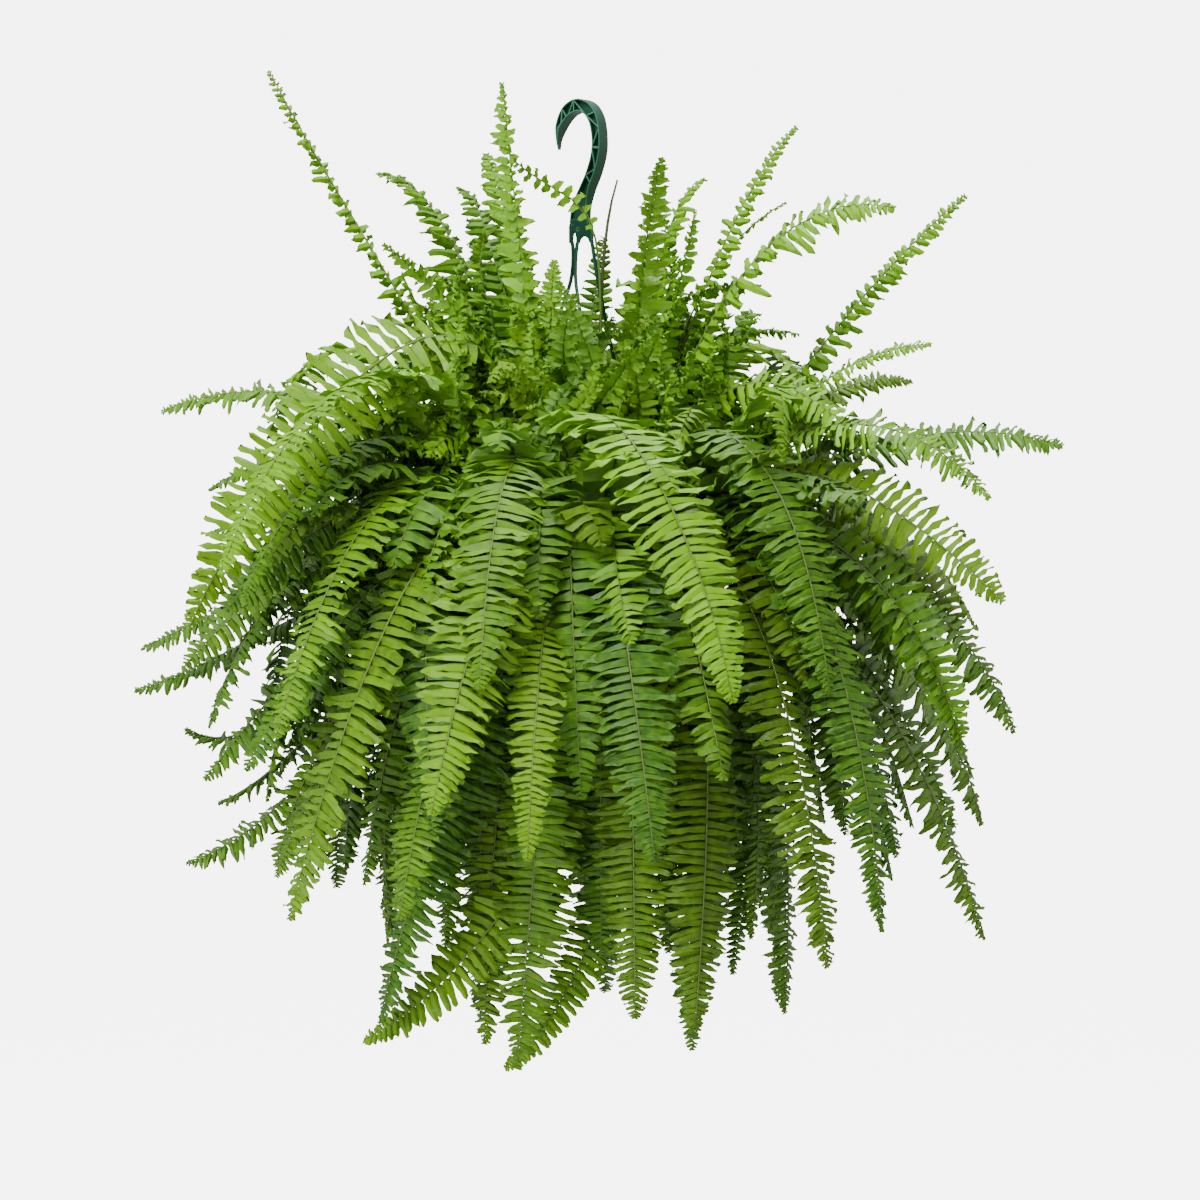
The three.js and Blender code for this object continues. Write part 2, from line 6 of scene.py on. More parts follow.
import bpy
import numpy as np
from bpy.props import FloatProperty, FloatVectorProperty, IntProperty, PointerProperty
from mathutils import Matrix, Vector


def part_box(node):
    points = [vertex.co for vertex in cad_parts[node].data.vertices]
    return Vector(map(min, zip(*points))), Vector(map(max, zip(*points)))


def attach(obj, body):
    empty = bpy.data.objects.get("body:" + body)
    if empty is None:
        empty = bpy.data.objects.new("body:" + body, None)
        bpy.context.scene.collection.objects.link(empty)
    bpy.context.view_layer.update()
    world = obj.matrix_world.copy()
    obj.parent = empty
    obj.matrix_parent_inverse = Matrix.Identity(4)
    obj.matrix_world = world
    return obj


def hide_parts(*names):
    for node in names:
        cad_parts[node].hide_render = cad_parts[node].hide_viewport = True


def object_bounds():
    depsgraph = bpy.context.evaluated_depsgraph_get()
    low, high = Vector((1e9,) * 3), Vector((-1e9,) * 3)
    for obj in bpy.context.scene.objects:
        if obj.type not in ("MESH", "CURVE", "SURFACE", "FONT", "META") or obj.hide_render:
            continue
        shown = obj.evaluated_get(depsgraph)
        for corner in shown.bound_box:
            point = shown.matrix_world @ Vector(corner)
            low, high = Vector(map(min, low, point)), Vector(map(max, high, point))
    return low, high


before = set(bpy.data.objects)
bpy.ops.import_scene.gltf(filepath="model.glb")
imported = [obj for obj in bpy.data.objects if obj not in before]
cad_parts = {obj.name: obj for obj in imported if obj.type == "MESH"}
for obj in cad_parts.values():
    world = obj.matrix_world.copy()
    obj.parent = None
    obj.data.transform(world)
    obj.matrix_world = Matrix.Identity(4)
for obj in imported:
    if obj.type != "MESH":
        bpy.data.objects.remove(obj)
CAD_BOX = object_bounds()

bl_info = {
    "name": "Boston fern in a hanging basket",
    "version": (1, 0, 0),
    "blender": (4, 5, 0),
    "location": "View3D > Sidebar > Fern",
    "description": "Fronds, crown, hanger, pot and soil of a hanging Boston fern",
    "category": "Add Mesh",
}

MM = 0.001

# Sizes that the frame fixes
SOIL_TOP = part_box("soil")[1].z
POT_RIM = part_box("pot")[1].z

# Where a frond starts over the soil, how deep its foot stands in it, and its stalk's bare length
COLLAR = 4 * MM
ROOT_DEPTH = 20 * MM
STIPE_LENGTH = 95 * MM

# An arch turns by its share to a power. It is measured by samples, and its way by a small step.
TURN_POWER = 1.3
ARCH_SAMPLES = 160
ARCH_STEP = 0.004

# The blade's width at its foot, where the foot ends, and how its tip runs to a point
FOOT_WIDTH = 0.26
FOOT_SHARE = 0.3
TIP_POWER = 3.4
TIP_ROUNDING = 0.75

# A frond's slow sideways wave: how many beats, how far it goes and how far it twists the blade
SWAY_BEATS = (0.7, 1.3)
SWAY_REACH = 9 * MM
SWAY_TWIST = 0.4

# The stalk's radius in millimetres at shares of its length, and its sides in view and hidden
STALK_AT = [0, 0.15, 0.6, 0.9, 1]
STALK_RADII = [1.5, 1.1, 0.8, 0.6, 0.4]
STALK_SIDES = 6
HIDDEN_SIDES = 4

# One row for each frond, in millimetres and degrees: its node, the bearing of its root and of
# its tip (0 right, -90 towards the viewer), the root's distance from the axis, the two handles
# and the tip of its arch as (distance, height), the half width of its blade, the roll of its
# tip, and its age from 0, a fresh bright leaf, to 1, an old dark one.
Frond = namedtuple("Frond", "node bearing tip_bearing root first second tip half roll age")
FRONDS = [
    Frond("frond_01", -172, -176, 20, (50, -270), (190, -80), (245, 30), 15, -50, 0.25),
    Frond("frond_02", 146, 152, 34, (56, -250), (120, -40), (188, -42), 36, 0, 0.35),
    Frond("fronds_03", 128, 136, 24, (44, -240), (90, -70), (152, -52), 26, 0, 0.3),
    Frond("fronds_03", 128, 118, 24, (40, -240), (110, -60), (165, -22), 26, 0, 0.3),
    Frond("fronds_05", -140, -125, 18, (30, -280), (60, -120), (100, 14), 22, 0, 0.15),
    Frond("frond_06", -35, -50, 18, (30, -280), (60, -90), (100, -42), 26, 0, 0.1),
    Frond("frond_07", 15, 24, 24, (40, -260), (60, -60), (108, -50), 26, 0, 0.2),
    Frond("frond_08", -2, 9, 20, (40, -280), (110, -70), (174, -9), 14, 40, 0.2),
    Frond("frond_09", -20, -15, 26, (60, -200), (150, -50), (250, -79), 34, 50, 0.2),
    Frond("frond_10", 4, 4, 34, (85, -310), (210, -150), (307, -64), 18, 45, 0.25),
    Frond("fronds_11", -12, -14, 60, (84, -290), (190, -185), (279, -184), 16, 35, 0.2),
    Frond("fronds_12", 15, 18, 56, (82, -295), (200, -195), (285, -212), 20, 35, 0.35),
    Frond("frond_13", -4, -3, 54, (95, -290), (260, -225), (381, -263), 36, 32, 0.3),
    Frond("frond_14", -30, -25, 44, (90, -250), (250, -190), (340, -300), 34, 25, 0.3),
    Frond("fronds_12", 15, 12, 56, (94, -300), (275, -275), (332, -412), 36, 25, 0.5),
    Frond("fronds_11", -12, -12, 60, (98, -330), (290, -320), (345, -485), 38, 25, 0.55),
    Frond("frond_17", -34, -30, 58, (92, -290), (260, -270), (332, -490), 38, 0, 0.5),
    Frond("frond_18", 22, 20, 84, (110, -310), (280, -350), (350, -545), 34, 20, 0.65),
    Frond("frond_19", 2, 2, 92, (112, -330), (280, -390), (325, -570), 36, 22, 0.7),
    Frond("frond_20", -20, -20, 92, (110, -335), (250, -370), (331, -640), 32, 15, 0.75),
    Frond("frond_21", -38, -38, 74, (100, -310), (250, -320), (300, -565), 34, 0, 0.6),
    Frond("frond_22", -46, -48, 46, (88, -235), (282, -220), (322, -612), 36, 0, 0.4),
    Frond("frond_23", -60, -57, 58, (90, -270), (260, -260), (322, -632), 40, 0, 0.55),
    Frond("frond_24", -94, -70, 30, (60, -190), (260, -150), (306, -440), 40, 0, 0.2),
    Frond("frond_25", -54, -51, 36, (70, -200), (230, -170), (290, -440), 36, 0, 0.6),
    Frond("frond_26", -84, -80, 58, (90, -295), (255, -265), (298, -552), 36, 0, 0.7),
    Frond("frond_27", -90, -109, 44, (76, -268), (232, -228), (318, -517), 42, 0, 0.22),
    Frond("frond_28", -108, -104, 40, (70, -242), (212, -188), (290, -430), 38, 0, 0.45),
    Frond("frond_29", -112, -133, 50, (85, -260), (240, -230), (312, -604), 44, 0, 0.4),
    Frond("frond_30", -97, -97, 72, (95, -315), (240, -310), (292, -551), 22, 0, 0.1),
    Frond("frond_31", -138, -135, 48, (80, -240), (220, -210), (310, -472), 38, 0, 0.35),
    Frond("frond_32", -126, -129, 70, (100, -300), (215, -300), (276, -510), 34, 0, 0.5),
    Frond("fronds_33", -152, -146, 56, (76, -230), (200, -185), (300, -374), 36, 0, 0.4),
    Frond("fronds_34", -165, -159, 46, (66, -220), (160, -180), (250, -310), 32, 0, 0.4),
    Frond("frond_35", -139, -139, 34, (56, -170), (250, -120), (340, -353), 38, 0, 0.15),
    Frond("fronds_34", -165, -158, 46, (84, -270), (240, -300), (307, -476), 34, 0, 0.6),
    Frond("frond_37", 178, 172, 88, (112, -330), (240, -540), (323, -495), 28, -18, 0.8),
    Frond("frond_38", 182, 179, 74, (104, -290), (250, -430), (357, -459), 28, -22, 0.7),
    Frond("frond_39", -173, -172, 66, (96, -300), (240, -370), (348, -422), 28, -22, 0.65),
    Frond("fronds_40", 158, 158, 60, (90, -320), (245, -300), (340, -340), 28, -20, 0.6),
    Frond("fronds_40", 158, 166, 60, (82, -275), (230, -240), (316, -301), 26, -25, 0.55),
    Frond("frond_42", 157, 164, 96, (112, -330), (230, -530), (315, -562), 28, -18, 0.8),
    Frond("frond_43", -170, -168, 92, (112, -330), (200, -560), (315, -588), 32, -18, 0.75),
    Frond("fronds_33", -152, -152, 56, (96, -330), (210, -460), (262, -590), 30, 0, 0.7),
    Frond("frond_45", -176, -171, 42, (78, -260), (190, -250), (266, -294), 26, -25, 0.45),
    Frond("frond_46", 185, 178, 30, (66, -260), (215, -185), (335, -236), 30, -30, 0.25),
    Frond("frond_47", -116, -118, 88, (108, -320), (220, -370), (282, -600), 32, 0, 0.5),
    Frond("frond_48", -96, -128, 98, (120, -330), (205, -400), (236, -692), 34, 0, 0.65),
    Frond("frond_49", -84, -106, 106, (122, -340), (190, -380), (198, -722), 34, 0, 0.7),
    Frond("frond_50", -77, -79, 100, (115, -330), (205, -340), (220, -680), 32, 0, 0.65),
    Frond("frond_51", -55, -68, 94, (115, -320), (230, -330), (230, -690), 34, 0, 0.8),
    Frond("frond_52", -34, -44, 100, (120, -330), (215, -350), (215, -690), 30, 0, 0.8),
    Frond("fronds_05", -140, -105, 18, (22, -330), (40, -220), (76, -120), 18, 0, 0.1),
    Frond("frond_54", -128, -130, 44, (62, -330), (110, -215), (165, -270), 26, 0, 0.05),
    Frond("frond_55", -44, -54, 30, (40, -320), (90, -230), (140, -190), 16, 0, 0.05),
    Frond("fronds_back_5", 103, 97, 98, (94, -330), (84, -240), (70, -170), 20, 0, 0.2),
]

# The crowns behind the axis, each with a low, a middle and a high frond: their bearings, and the
# handles, tip, half width and age of the three
BACK_BEARINGS = [36, 61, 75, 89, 103, 117, 131, 145]
BACK_ROOT = 98
BACK_TIERS = [
    ((120, -330), (212, -350), (205, -690), 33, 0.8),
    ((110, -275), (262, -275), (275, -600), 36, 0.65),
    ((90, -205), (310, -195), (345, -480), 38, 0.5),
]
# How much nearer and lower every second one of them stands
BACK_SHIFT = (-14, -28)
# The draws that turn their tips and move them: the start, the spreads, and the numbers' step and end
BACK_SEED = 41
BACK_TURN_SPREAD = 3
BACK_TIP_SPREAD = (8, 40)
WORD_STEP = 0x6D2B79F5
WORD = 0xFFFFFFFF

# More fronds of the same crowns, each list with one arch, its half width and the range of its
# ages: the node that a frond grows from and the bearing of its tip
Added = namedtuple("Added", "first second tip half ages crowns")
ADDED = [
    Added((120, -350), (170, -380), (158, -645), 21, (0.35, 0.85), [
        ("frond_18", 20), ("frond_19", 3), ("frond_20", -14), ("frond_52", -32), ("frond_51", -50),
        ("frond_50", -67), ("frond_49", -85), ("frond_48", -102), ("frond_47", -118),
        ("frond_32", -133), ("fronds_33", -149), ("frond_43", -166), ("frond_37", 177),
        ("frond_42", 161), ("fronds_back_1", 37), ("fronds_back_2", 55), ("fronds_back_3", 73),
        ("fronds_back_4", 90), ("fronds_back_5", 108), ("fronds_back_6", 126), ("fronds_back_8", 144)]),
    Added((88, -165), (190, -110), (262, -270), 32, (0.2, 0.4), [
        ("fronds_back_1", 38), ("fronds_back_3", 73), ("fronds_back_5", 104), ("fronds_back_7", 134)]),
]

# Fronds that only stand here, drawn in layers round the crown: how many, between which bearings,
# how far they turn, the ranges of the root's distance and of the two handles and the tip, each as
# (distance past the root, height), the half width and the age, the stalk's bare length, how far
# apart the leaflets stand, how wild they lie and the rings of each
Layer = namedtuple(
    "Layer", "name count bearings turn root first second tip half age stipe spacing wild rings")
LAYERS = [
    Layer("canopy", 20, (-35, 215), 25, (34, 88), ((15, 35), (-290, -200)), ((70, 140), (-200, -100)),
          ((100, 215), (-340, -160)), (22, 30), (0.1, 0.5), 80, 7.5, 1.3, 5),
    Layer("crown", 56, (-90, 270), 50, (8, 92), ((10, 30), (-320, -250)), ((25, 75), (-250, -160)),
          ((30, 120), (-320, -140)), (13, 20), (0.0, 0.35), 75, 7.5, 2.2, 5),
    Layer("curl", 34, (-170, -10), 40, (45, 98), ((5, 25), (-380, -300)), ((20, 60), (-300, -200)),
          ((25, 90), (-370, -190)), (11, 17), (0.0, 0.3), 60, 7.0, 2.4, 5),
    Layer("frill", 42, (-165, -15), 30, (50, 98), ((0, 14), (-380, -300)), ((6, 36), (-300, -210)),
          ((8, 56), (-310, -165)), (11, 17), (0.0, 0.25), 65, 7.5, 2.4, 5),
    Layer("sprout", 28, (-90, 270), 35, (8, 50), ((8, 20), (-330, -230)), ((20, 60), (-240, -150)),
          ((30, 110), (-240, -125)), (12, 19), (0.0, 0.2), 90, 7.5, 2.0, 7),
    Layer("spray", 32, (-35, 215), 20, (8, 50), ((8, 26), (-280, -200)), ((30, 90), (-170, -90)),
          ((40, 160), (-190, -80)), (14, 22), (0.0, 0.3), 100, 8.0, 1.6, 5),
    Layer("skirt", 22, (-90, 270), 24, (96, 108), ((16, 26), (-375, -330)), ((55, 95), (-420, -330)),
          ((25, 110), (-720, -560)), (20, 28), (0.3, 0.8), 80, 7.0, 1.2, 5),
    Layer("drape", 32, (-90, 270), 16, (60, 92), ((30, 40), (-320, -250)), ((100, 160), (-340, -220)),
          ((150, 215), (-600, -380)), (26, 34), (0.3, 0.9), 85, 8.5, 1.3, 5),
    Layer("shade", 30, (-90, 270), 12, (70, 98), ((26, 40), (-330, -280)), ((90, 140), (-300, -210)),
          ((120, 190), (-350, -250)), (28, 36), (0.3, 0.8), 90, 11.0, 0.9, 5),
    Layer("core", 38, (-90, 270), 10, (60, 98), ((20, 35), (-340, -280)), ((50, 110), (-330, -240)),
          ((60, 150), (-570, -320)), (30, 38), (0.6, 1.0), 85, 12.0, 0.8, 5),
]

# Single fronds, given one by one: each is a frond, with its stalk's bare length, how far apart its
# leaflets stand, how wild they lie and how stout its stalk is. The sweeps fall at both sides, the
# bunches are tufts in front of the crown, the trails turn aside at the bottom, and the veils hang
# behind the others and close the view through the sides.
Single = namedtuple("Single", (*Frond._fields, "stipe", "spacing", "wild", "stout"),
                    defaults=(90, 7.5, 1.2, 1))
SINGLES = [
    Single("crossing", -20, -140, 20, (20, -31), (30, -102), (69, -37), 9, 0, 0.0, 350, 8.5, 1.2, 1.3),
    Single("withered", 10, 5, 14, (14, -200), (12, -110), (29, -53), 4, 0, 1.5, 900, 9.0, 1.0, 2.2),
    Single("thread", 10, 5, 30, (50, -250), (80, -115), (164, -70), 5, 0, 0.1, 340, 6.0, 1.0, 1.2),
    Single("edge", -122, -122, 62, (84, -280), (215, -215), (232, -405), 13, 65, 0.0, 190, 6.5, 2.0),
    Single("sweep", -142, -150, 40, (34, 40), (275, -255), (335, -395), 39, -95, 0.0, 200, 9.5, 0.9, 1.4),
    Single("sweep", -30, -24, 44, (64, -240), (130, -150), (240, -262), 30, 40, 0.1, 110, 8.0, 1.2, 1.2),
    Single("sweep", -160, -163, 70, (100, -280), (230, -330), (318, -430), 30, -45, 0.6),
    Single("sweep", -150, -152, 64, (100, -260), (220, -290), (300, -385), 32, -35, 0.45),
    Single("sweep", -165, -170, 78, (106, -300), (220, -420), (300, -525), 30, -45, 0.7),
    Single("sweep", -140, -149, 70, (100, -280), (210, -340), (292, -505), 30, -20, 0.5),
    Single("sweep", -20, -22, 70, (100, -280), (230, -320), (300, -450), 30, 35, 0.5),
    Single("sweep", -15, -12, 80, (106, -300), (240, -400), (300, -560), 28, 35, 0.6),
    Single("bunch", -100, -118, 30, (34, -330), (48, -120), (66, -152), 19, 0, 0.0, 240, 7.0, 2.4),
    Single("bunch", -130, -140, 34, (36, -330), (50, -140), (72, -165), 17, 0, 0.0, 230, 7.0, 2.4),
    Single("bunch", -80, -100, 26, (30, -330), (40, -150), (50, -170), 15, 0, 0.0, 230, 7.0, 2.4),
    Single("bunch", -140, -112, 50, (80, -310), (125, -205), (135, -262), 16, 0, 0.0, 200, 7.5, 2.0),
    Single("bunch", -30, -75, 40, (50, -330), (95, -110), (108, -262), 11, 0, 0.0, 230, 6.5, 1.8),
    Single("bunch", -60, -95, 60, (70, -330), (120, -200), (150, -300), 16, 0, 0.0, 150, 7.0, 2.2),
    Single("bunch", -150, -135, 60, (70, -330), (110, -180), (150, -290), 18, 0, 0.1, 150, 7.0, 2.2),
    Single("sweep", -148, -150, 84, (104, -320), (190, -360), (240, -560), 32, -20, 0.6),
    Single("sweep", -134, -137, 84, (104, -320), (180, -360), (226, -590), 30, 0, 0.65),
    Single("sweep", -158, -160, 60, (90, -250), (190, -200), (270, -330), 32, -60, 0.3, 110, 8.5, 1.0, 1.1),
    Single("sweep", -161, -163, 92, (112, -330), (210, -450), (248, -590), 32, -15, 0.65),
    Single("sweep", 170, 168, 92, (112, -330), (205, -440), (220, -610), 32, 0, 0.75),
    Single("sweep", -10, -12, 92, (112, -332), (215, -420), (250, -605), 32, 10, 0.65),
    Single("sweep", -30, -30, 50, (80, -200), (240, -270), (362, -375), 30, 80, 0.35, 130, 8.5, 1.0, 1.1),
    Single("sweep", -28, -30, 60, (92, -270), (250, -280), (330, -478), 30, 75, 0.5, 120, 8.5, 1.0, 1.1),
    Single("veil", 179, 178, 72, (100, -290), (225, -290), (290, -400), 36, -70, 0.8, 100, 9, 1.0),
    Single("veil", 160, 162, 70, (95, -310), (225, -300), (290, -400), 36, -60, 0.8, 100, 9, 1.0),
    Single("veil", -6, -6, 64, (98, -310), (240, -290), (300, -410), 36, 70, 0.8, 100, 9, 1.0),
    Single("veil", 13, 12, 62, (96, -305), (250, -280), (290, -390), 36, 60, 0.8, 100, 9, 1.0),
    Single("trail", -60, -135, 98, (120, -330), (170, -640), (230, -712), 30, 0, 0.3, 95, 8.0, 0.8),
    Single("trail", -40, -112, 100, (118, -330), (150, -675), (152, -735), 21, 0, 0.3, 95, 7.0, 0.8),
    Single("bunch", -12, -6, 60, (84, -300), (130, -190), (215, -270), 24, 35, 0.2, 110, 7.5, 1.6),
    Single("bunch", -24, -20, 56, (80, -300), (125, -200), (190, -262), 22, 35, 0.1, 110, 7.5, 1.8),
    Single("veil", -171, -172, 98, (118, -335), (184, -440), (190, -600), 30, -20, 0.6, 90, 8.5, 1.0),
    Single("veil", 178, 176, 96, (116, -330), (205, -400), (216, -565), 30, -20, 0.7, 90, 8.5, 1.0),
    Single("veil", -172, -172, 62, (92, -295), (190, -258), (260, -318), 32, -50, 0.6, 100, 9, 1.0),
]
# Single fronds past this age hang behind others or are bare, so fewer rings do for their leaflets
HIDDEN_AGE = 0.55
SINGLE_RINGS = (7, 5)
# Where a filling frond stands in its even step round the crown, and how many pieces a layer is
# shared out to
STEP_DRAW = (0.15, 0.85)
LAYER_PIECES = 3


def draws(seed):
    """Shares of one from a small generator of 32 bit numbers: the same ones in the same order every
    time."""
    state = seed
    while True:
        state = (state + WORD_STEP) & WORD
        mixed = ((state ^ (state >> 15)) * (1 | state)) & WORD
        mixed = ((mixed + (((mixed ^ (mixed >> 7)) * (61 | mixed)) & WORD)) & WORD) ^ mixed
        yield (mixed ^ (mixed >> 14)) / (WORD + 1)


def back_fronds():
    """The fronds behind the axis: every second crown stands a little lower and nearer."""
    draw = draws(BACK_SEED)

    def vary(value, spread):
        return value + (next(draw) * 2 - 1) * spread

    found = []
    for i, bearing in enumerate(BACK_BEARINGS):
        shift = [(i % 2) * step for step in BACK_SHIFT]
        for first, second, tip, half, age in BACK_TIERS:
            tip_bearing = bearing + vary(0, BACK_TURN_SPREAD)
            end = [vary(value, spread) for value, spread in zip(tip, BACK_TIP_SPREAD)]
            places = [tuple(v + s for v, s in zip(place, shift)) for place in (first, second, end)]
            found.append(Frond(f"fronds_back_{i + 1}", bearing, tip_bearing, BACK_ROOT, *places,
                               half, 0, age))
    return found


def added_fronds(added, grown):
    """The fronds that an arch adds to crowns: their ages step through the range in turn."""
    found = []
    for i, (node, tip_bearing) in enumerate(added.crowns):
        crown = next(frond for frond in grown if frond.node == node)
        age = added.ages[0] + (added.ages[1] - added.ages[0]) * (i % 3) / 2
        found.append(crown._replace(
            tip_bearing=tip_bearing, first=added.first, second=added.second, tip=added.tip,
            half=added.half, roll=0, age=age))
    return found


def layer_fronds(layer, rng):
    """The fronds of a layer: their bearings go round evenly with a small draw, and their handles
    and tips stand out from the root's distance by draws from the layer's ranges."""
    found = []
    start, end = layer.bearings
    for i in range(layer.count):
        bearing = start + (end - start) * (i + rng.uniform(*STEP_DRAW)) / layer.count
        root = rng.uniform(*layer.root)
        first, second, tip = (
            (root + rng.uniform(*out), rng.uniform(*height))
            for out, height in (layer.first, layer.second, layer.tip))
        turned = bearing + rng.uniform(-1, 1) * layer.turn
        half = rng.uniform(*layer.half)
        found.append(Frond(layer.name, bearing, turned, root, first, second, tip, half, 0,
                           rng.uniform(*layer.age)))
    return found


# Vectors
def unit(vectors):
    """Each vector divided by its length."""
    return vectors / np.maximum(np.linalg.norm(vectors, axis=-1, keepdims=True), 1e-12)


def arch(frond, t):
    """Points and bearings of a frond's arch at shares t: a cubic curve of distance and height,
    turned about the axis by a bearing that goes from the root's to the tip's as t to a power."""
    s = 1 - t
    weights = np.stack([s ** 3, 3 * s * s * t, 3 * s * t * t, t ** 3], 1)
    start = (frond.root, (SOIL_TOP + COLLAR) / MM)
    distance, height = (weights @ np.array([start, frond.first, frond.second, frond.tip]) * MM).T
    bearing = np.radians(frond.bearing + (frond.tip_bearing - frond.bearing) * t ** TURN_POWER)
    return np.stack([distance * np.cos(bearing), distance * np.sin(bearing), height], 1), bearing


def arch_length(frond):
    """Lengths along the arch at even shares of its parameter, as sums of short chords, and those
    shares."""
    t = np.linspace(0, 1, ARCH_SAMPLES + 1)
    points, _ = arch(frond, t)
    steps = np.linalg.norm(np.diff(points, axis=0), axis=1)
    return np.concatenate([[0], np.cumsum(steps)]), t


def stations(frond, lengths, sway):
    """Places and frames at lengths along an arch: along it, across the blade and up out of its
    face. Across is level before it is rolled by the frond's roll, and sway adds a slow wave
    sideways and a small twist."""
    run, t = arch_length(frond)
    share = np.interp(lengths, run, t)
    at, bearing = arch(frond, share)
    ahead, _ = arch(frond, np.minimum(share + ARCH_STEP, 1))
    behind, _ = arch(frond, np.maximum(share - ARCH_STEP, 0))
    along = unit(ahead - behind)
    across = np.stack([-np.sin(bearing), np.cos(bearing), 0 * bearing], 1)
    across = unit(across - along * (across * along).sum(1, keepdims=True))
    up = np.cross(along, across)
    wave = share * np.sin(2 * math.pi * (sway[0] * share + sway[1]))
    turn = (math.radians(frond.roll) * share + sway[3] * wave)[:, None]
    rolled = across * np.cos(turn) + up * np.sin(turn)
    at = at + across * (sway[2] * wave)[:, None]
    return at, along, rolled, np.cross(along, rolled)


def blade_width(share):
    """The blade's width at a share of its length, as a share of its full width: it grows evenly
    from its foot, stays full, and runs to a point as a power of 1 less a power of the share."""
    foot = FOOT_WIDTH + (1 - FOOT_WIDTH) * np.minimum(share / FOOT_SHARE, 1)
    return foot * (1 - share ** TIP_POWER) ** TIP_ROUNDING


# A mesh as arrays: points, faces with four corners or with three and a -1, the faces' materials and
# their corners in the map, values at the points, and the points' marks. An edge between two points
# with the same mark above 0 is sharp.
Arrays = namedtuple("Arrays", "points faces kinds uv values marks")


def new_object(name, data):
    """A new object of the scene."""
    made = bpy.data.objects.new(name, data)
    bpy.context.scene.collection.objects.link(made)
    return made


def new_piece(name, arrays, materials, node=None, soft=True):
    """A piece from whole arrays, which rides on the root and may stand for a CAD node."""
    mesh = bpy.data.meshes.new(name)
    mesh.vertices.add(len(arrays.points))
    mesh.vertices.foreach_set("co", arrays.points.astype(np.float32).ravel())
    used = arrays.faces >= 0
    sizes = used.sum(1)
    mesh.loops.add(int(used.sum()))
    mesh.loops.foreach_set("vertex_index", arrays.faces[used].astype(np.int32))
    mesh.polygons.add(len(sizes))
    mesh.polygons.foreach_set("loop_start", (np.cumsum(sizes) - sizes).astype(np.int32))
    for material in materials:
        mesh.materials.append(material)
    mesh.polygons.foreach_set("use_smooth", np.full(len(sizes), soft))
    mesh.polygons.foreach_set("material_index", arrays.kinds.astype(np.int32))
    mesh.update(calc_edges=True)
    layer = mesh.uv_layers.new(name="UVMap")
    layer.uv.foreach_set("vector", arrays.uv[used].astype(np.float32).ravel())
    for key, value in arrays.values.items():
        stored = mesh.attributes.new(key, "FLOAT", "POINT")
        stored.data.foreach_set("value", value.astype(np.float32))
    pairs = np.empty(2 * len(mesh.edges), np.int32)
    mesh.edges.foreach_get("vertices", pairs)
    marks = arrays.marks[pairs.reshape(-1, 2)]
    cut = (marks[:, 0] == marks[:, 1]) & (marks[:, 0] > 0)
    mesh.attributes.new("sharp_edge", "BOOLEAN", "EDGE").data.foreach_set("value", cut)
    piece = new_object(name, mesh)
    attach(piece, "root")
    if node:
        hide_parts(node)


def shifted(faces, by):
    """Faces with their points counted on, where a -1 stays."""
    return np.where(faces < 0, -1, faces + by)


def join(parts):
    """Several sets of arrays as one, with their faces counted on."""
    starts = np.cumsum([0] + [len(part.points) for part in parts])
    faces = np.concatenate([shifted(part.faces, start) for part, start in zip(parts, starts)])
    values = {key: np.concatenate([part.values[key] for part in parts]) for key in parts[0].values}
    rest = {key: np.concatenate([getattr(part, key) for part in parts])
            for key in ("points", "kinds", "uv", "marks")}
    return Arrays(faces=faces, values=values, **rest)


def tube_faces(rings, sides):
    """Faces of a closed tube: a band between each two rings, and each end closed by a triangle or
    a fan of faces with four corners."""
    j, k = np.meshgrid(np.arange(rings - 1), np.arange(sides), indexing="ij")
    after = (k + 1) % sides
    band = np.stack([j * sides + k, j * sides + after, (j + 1) * sides + after, (j + 1) * sides + k], -1)
    if sides > 3:
        fan = np.array([[0, i + 1, i + 2, i + 3] for i in range(0, sides - 2, 2)])
        start = fan[:, ::-1]
    else:
        fan = np.array([[0, 1, 2, -1]])
        start = fan[:, [2, 1, 0, 3]]
    return np.concatenate([band.reshape(-1, 4), start, shifted(fan, (rings - 1) * sides)])


def tube(at, first, second, radius, sides):
    """Rings of a tube: at each place a circle of the radius in the plane of two unit vectors."""
    turn = 2 * math.pi * np.arange(sides) / sides
    ring = np.cos(turn)[None, :, None] * first[:, None] + np.sin(turn)[None, :, None] * second[:, None]
    return at[:, None] + ring * np.broadcast_to(radius, len(at))[:, None, None]


# A leaflet has rings at these shares of its length
RING_SHARES = {
    9: np.array([0, 0.05, 0.17, 0.32, 0.48, 0.64, 0.8, 0.93, 1.0]),
    7: np.array([0, 0.07, 0.25, 0.47, 0.7, 0.91, 1.0]),
    5: np.array([0, 0.08, 0.42, 0.87, 1.0]),
}
# Its outline: widths at shares of its length, the ear at its foot and the scallops of its edge
OUTLINE_AT = [0, 0.04, 0.14, 0.35, 0.6, 0.8, 0.92, 1]
OUTLINE = [0.45, 1, 1.05, 0.98, 0.92, 0.8, 0.6, 0.18]
EAR = 0.3
EAR_AT = 0.1
EAR_REACH = 0.08
SCALLOP = 0.06
SCALLOP_END = 0.95
# Ranges of its lie: bend towards the frond's tip, droop, curl of its tip, twist, fold and ripple
SICKLE = 0.1
BEND = (-0.6, 1.6)
DROOP = (-0.1, 0.35)
AGE_DROOP = 0.12
DROOP_POWER = 1.8
CURL = (-0.8, 1.4)
CURL_FROM = 0.6
TWIST = 0.32
TWIST_DRAW = (-0.22, 0.3)
TIP_TWIST = 0.2
TIP_TWIST_DRAW = (-0.5, 0.6)
FOLD = (-0.85, -0.25)
RIPPLE = (0.2, 0.5)
BEATS = (1.4, 2.4)
FAR_PHASE = 0.4
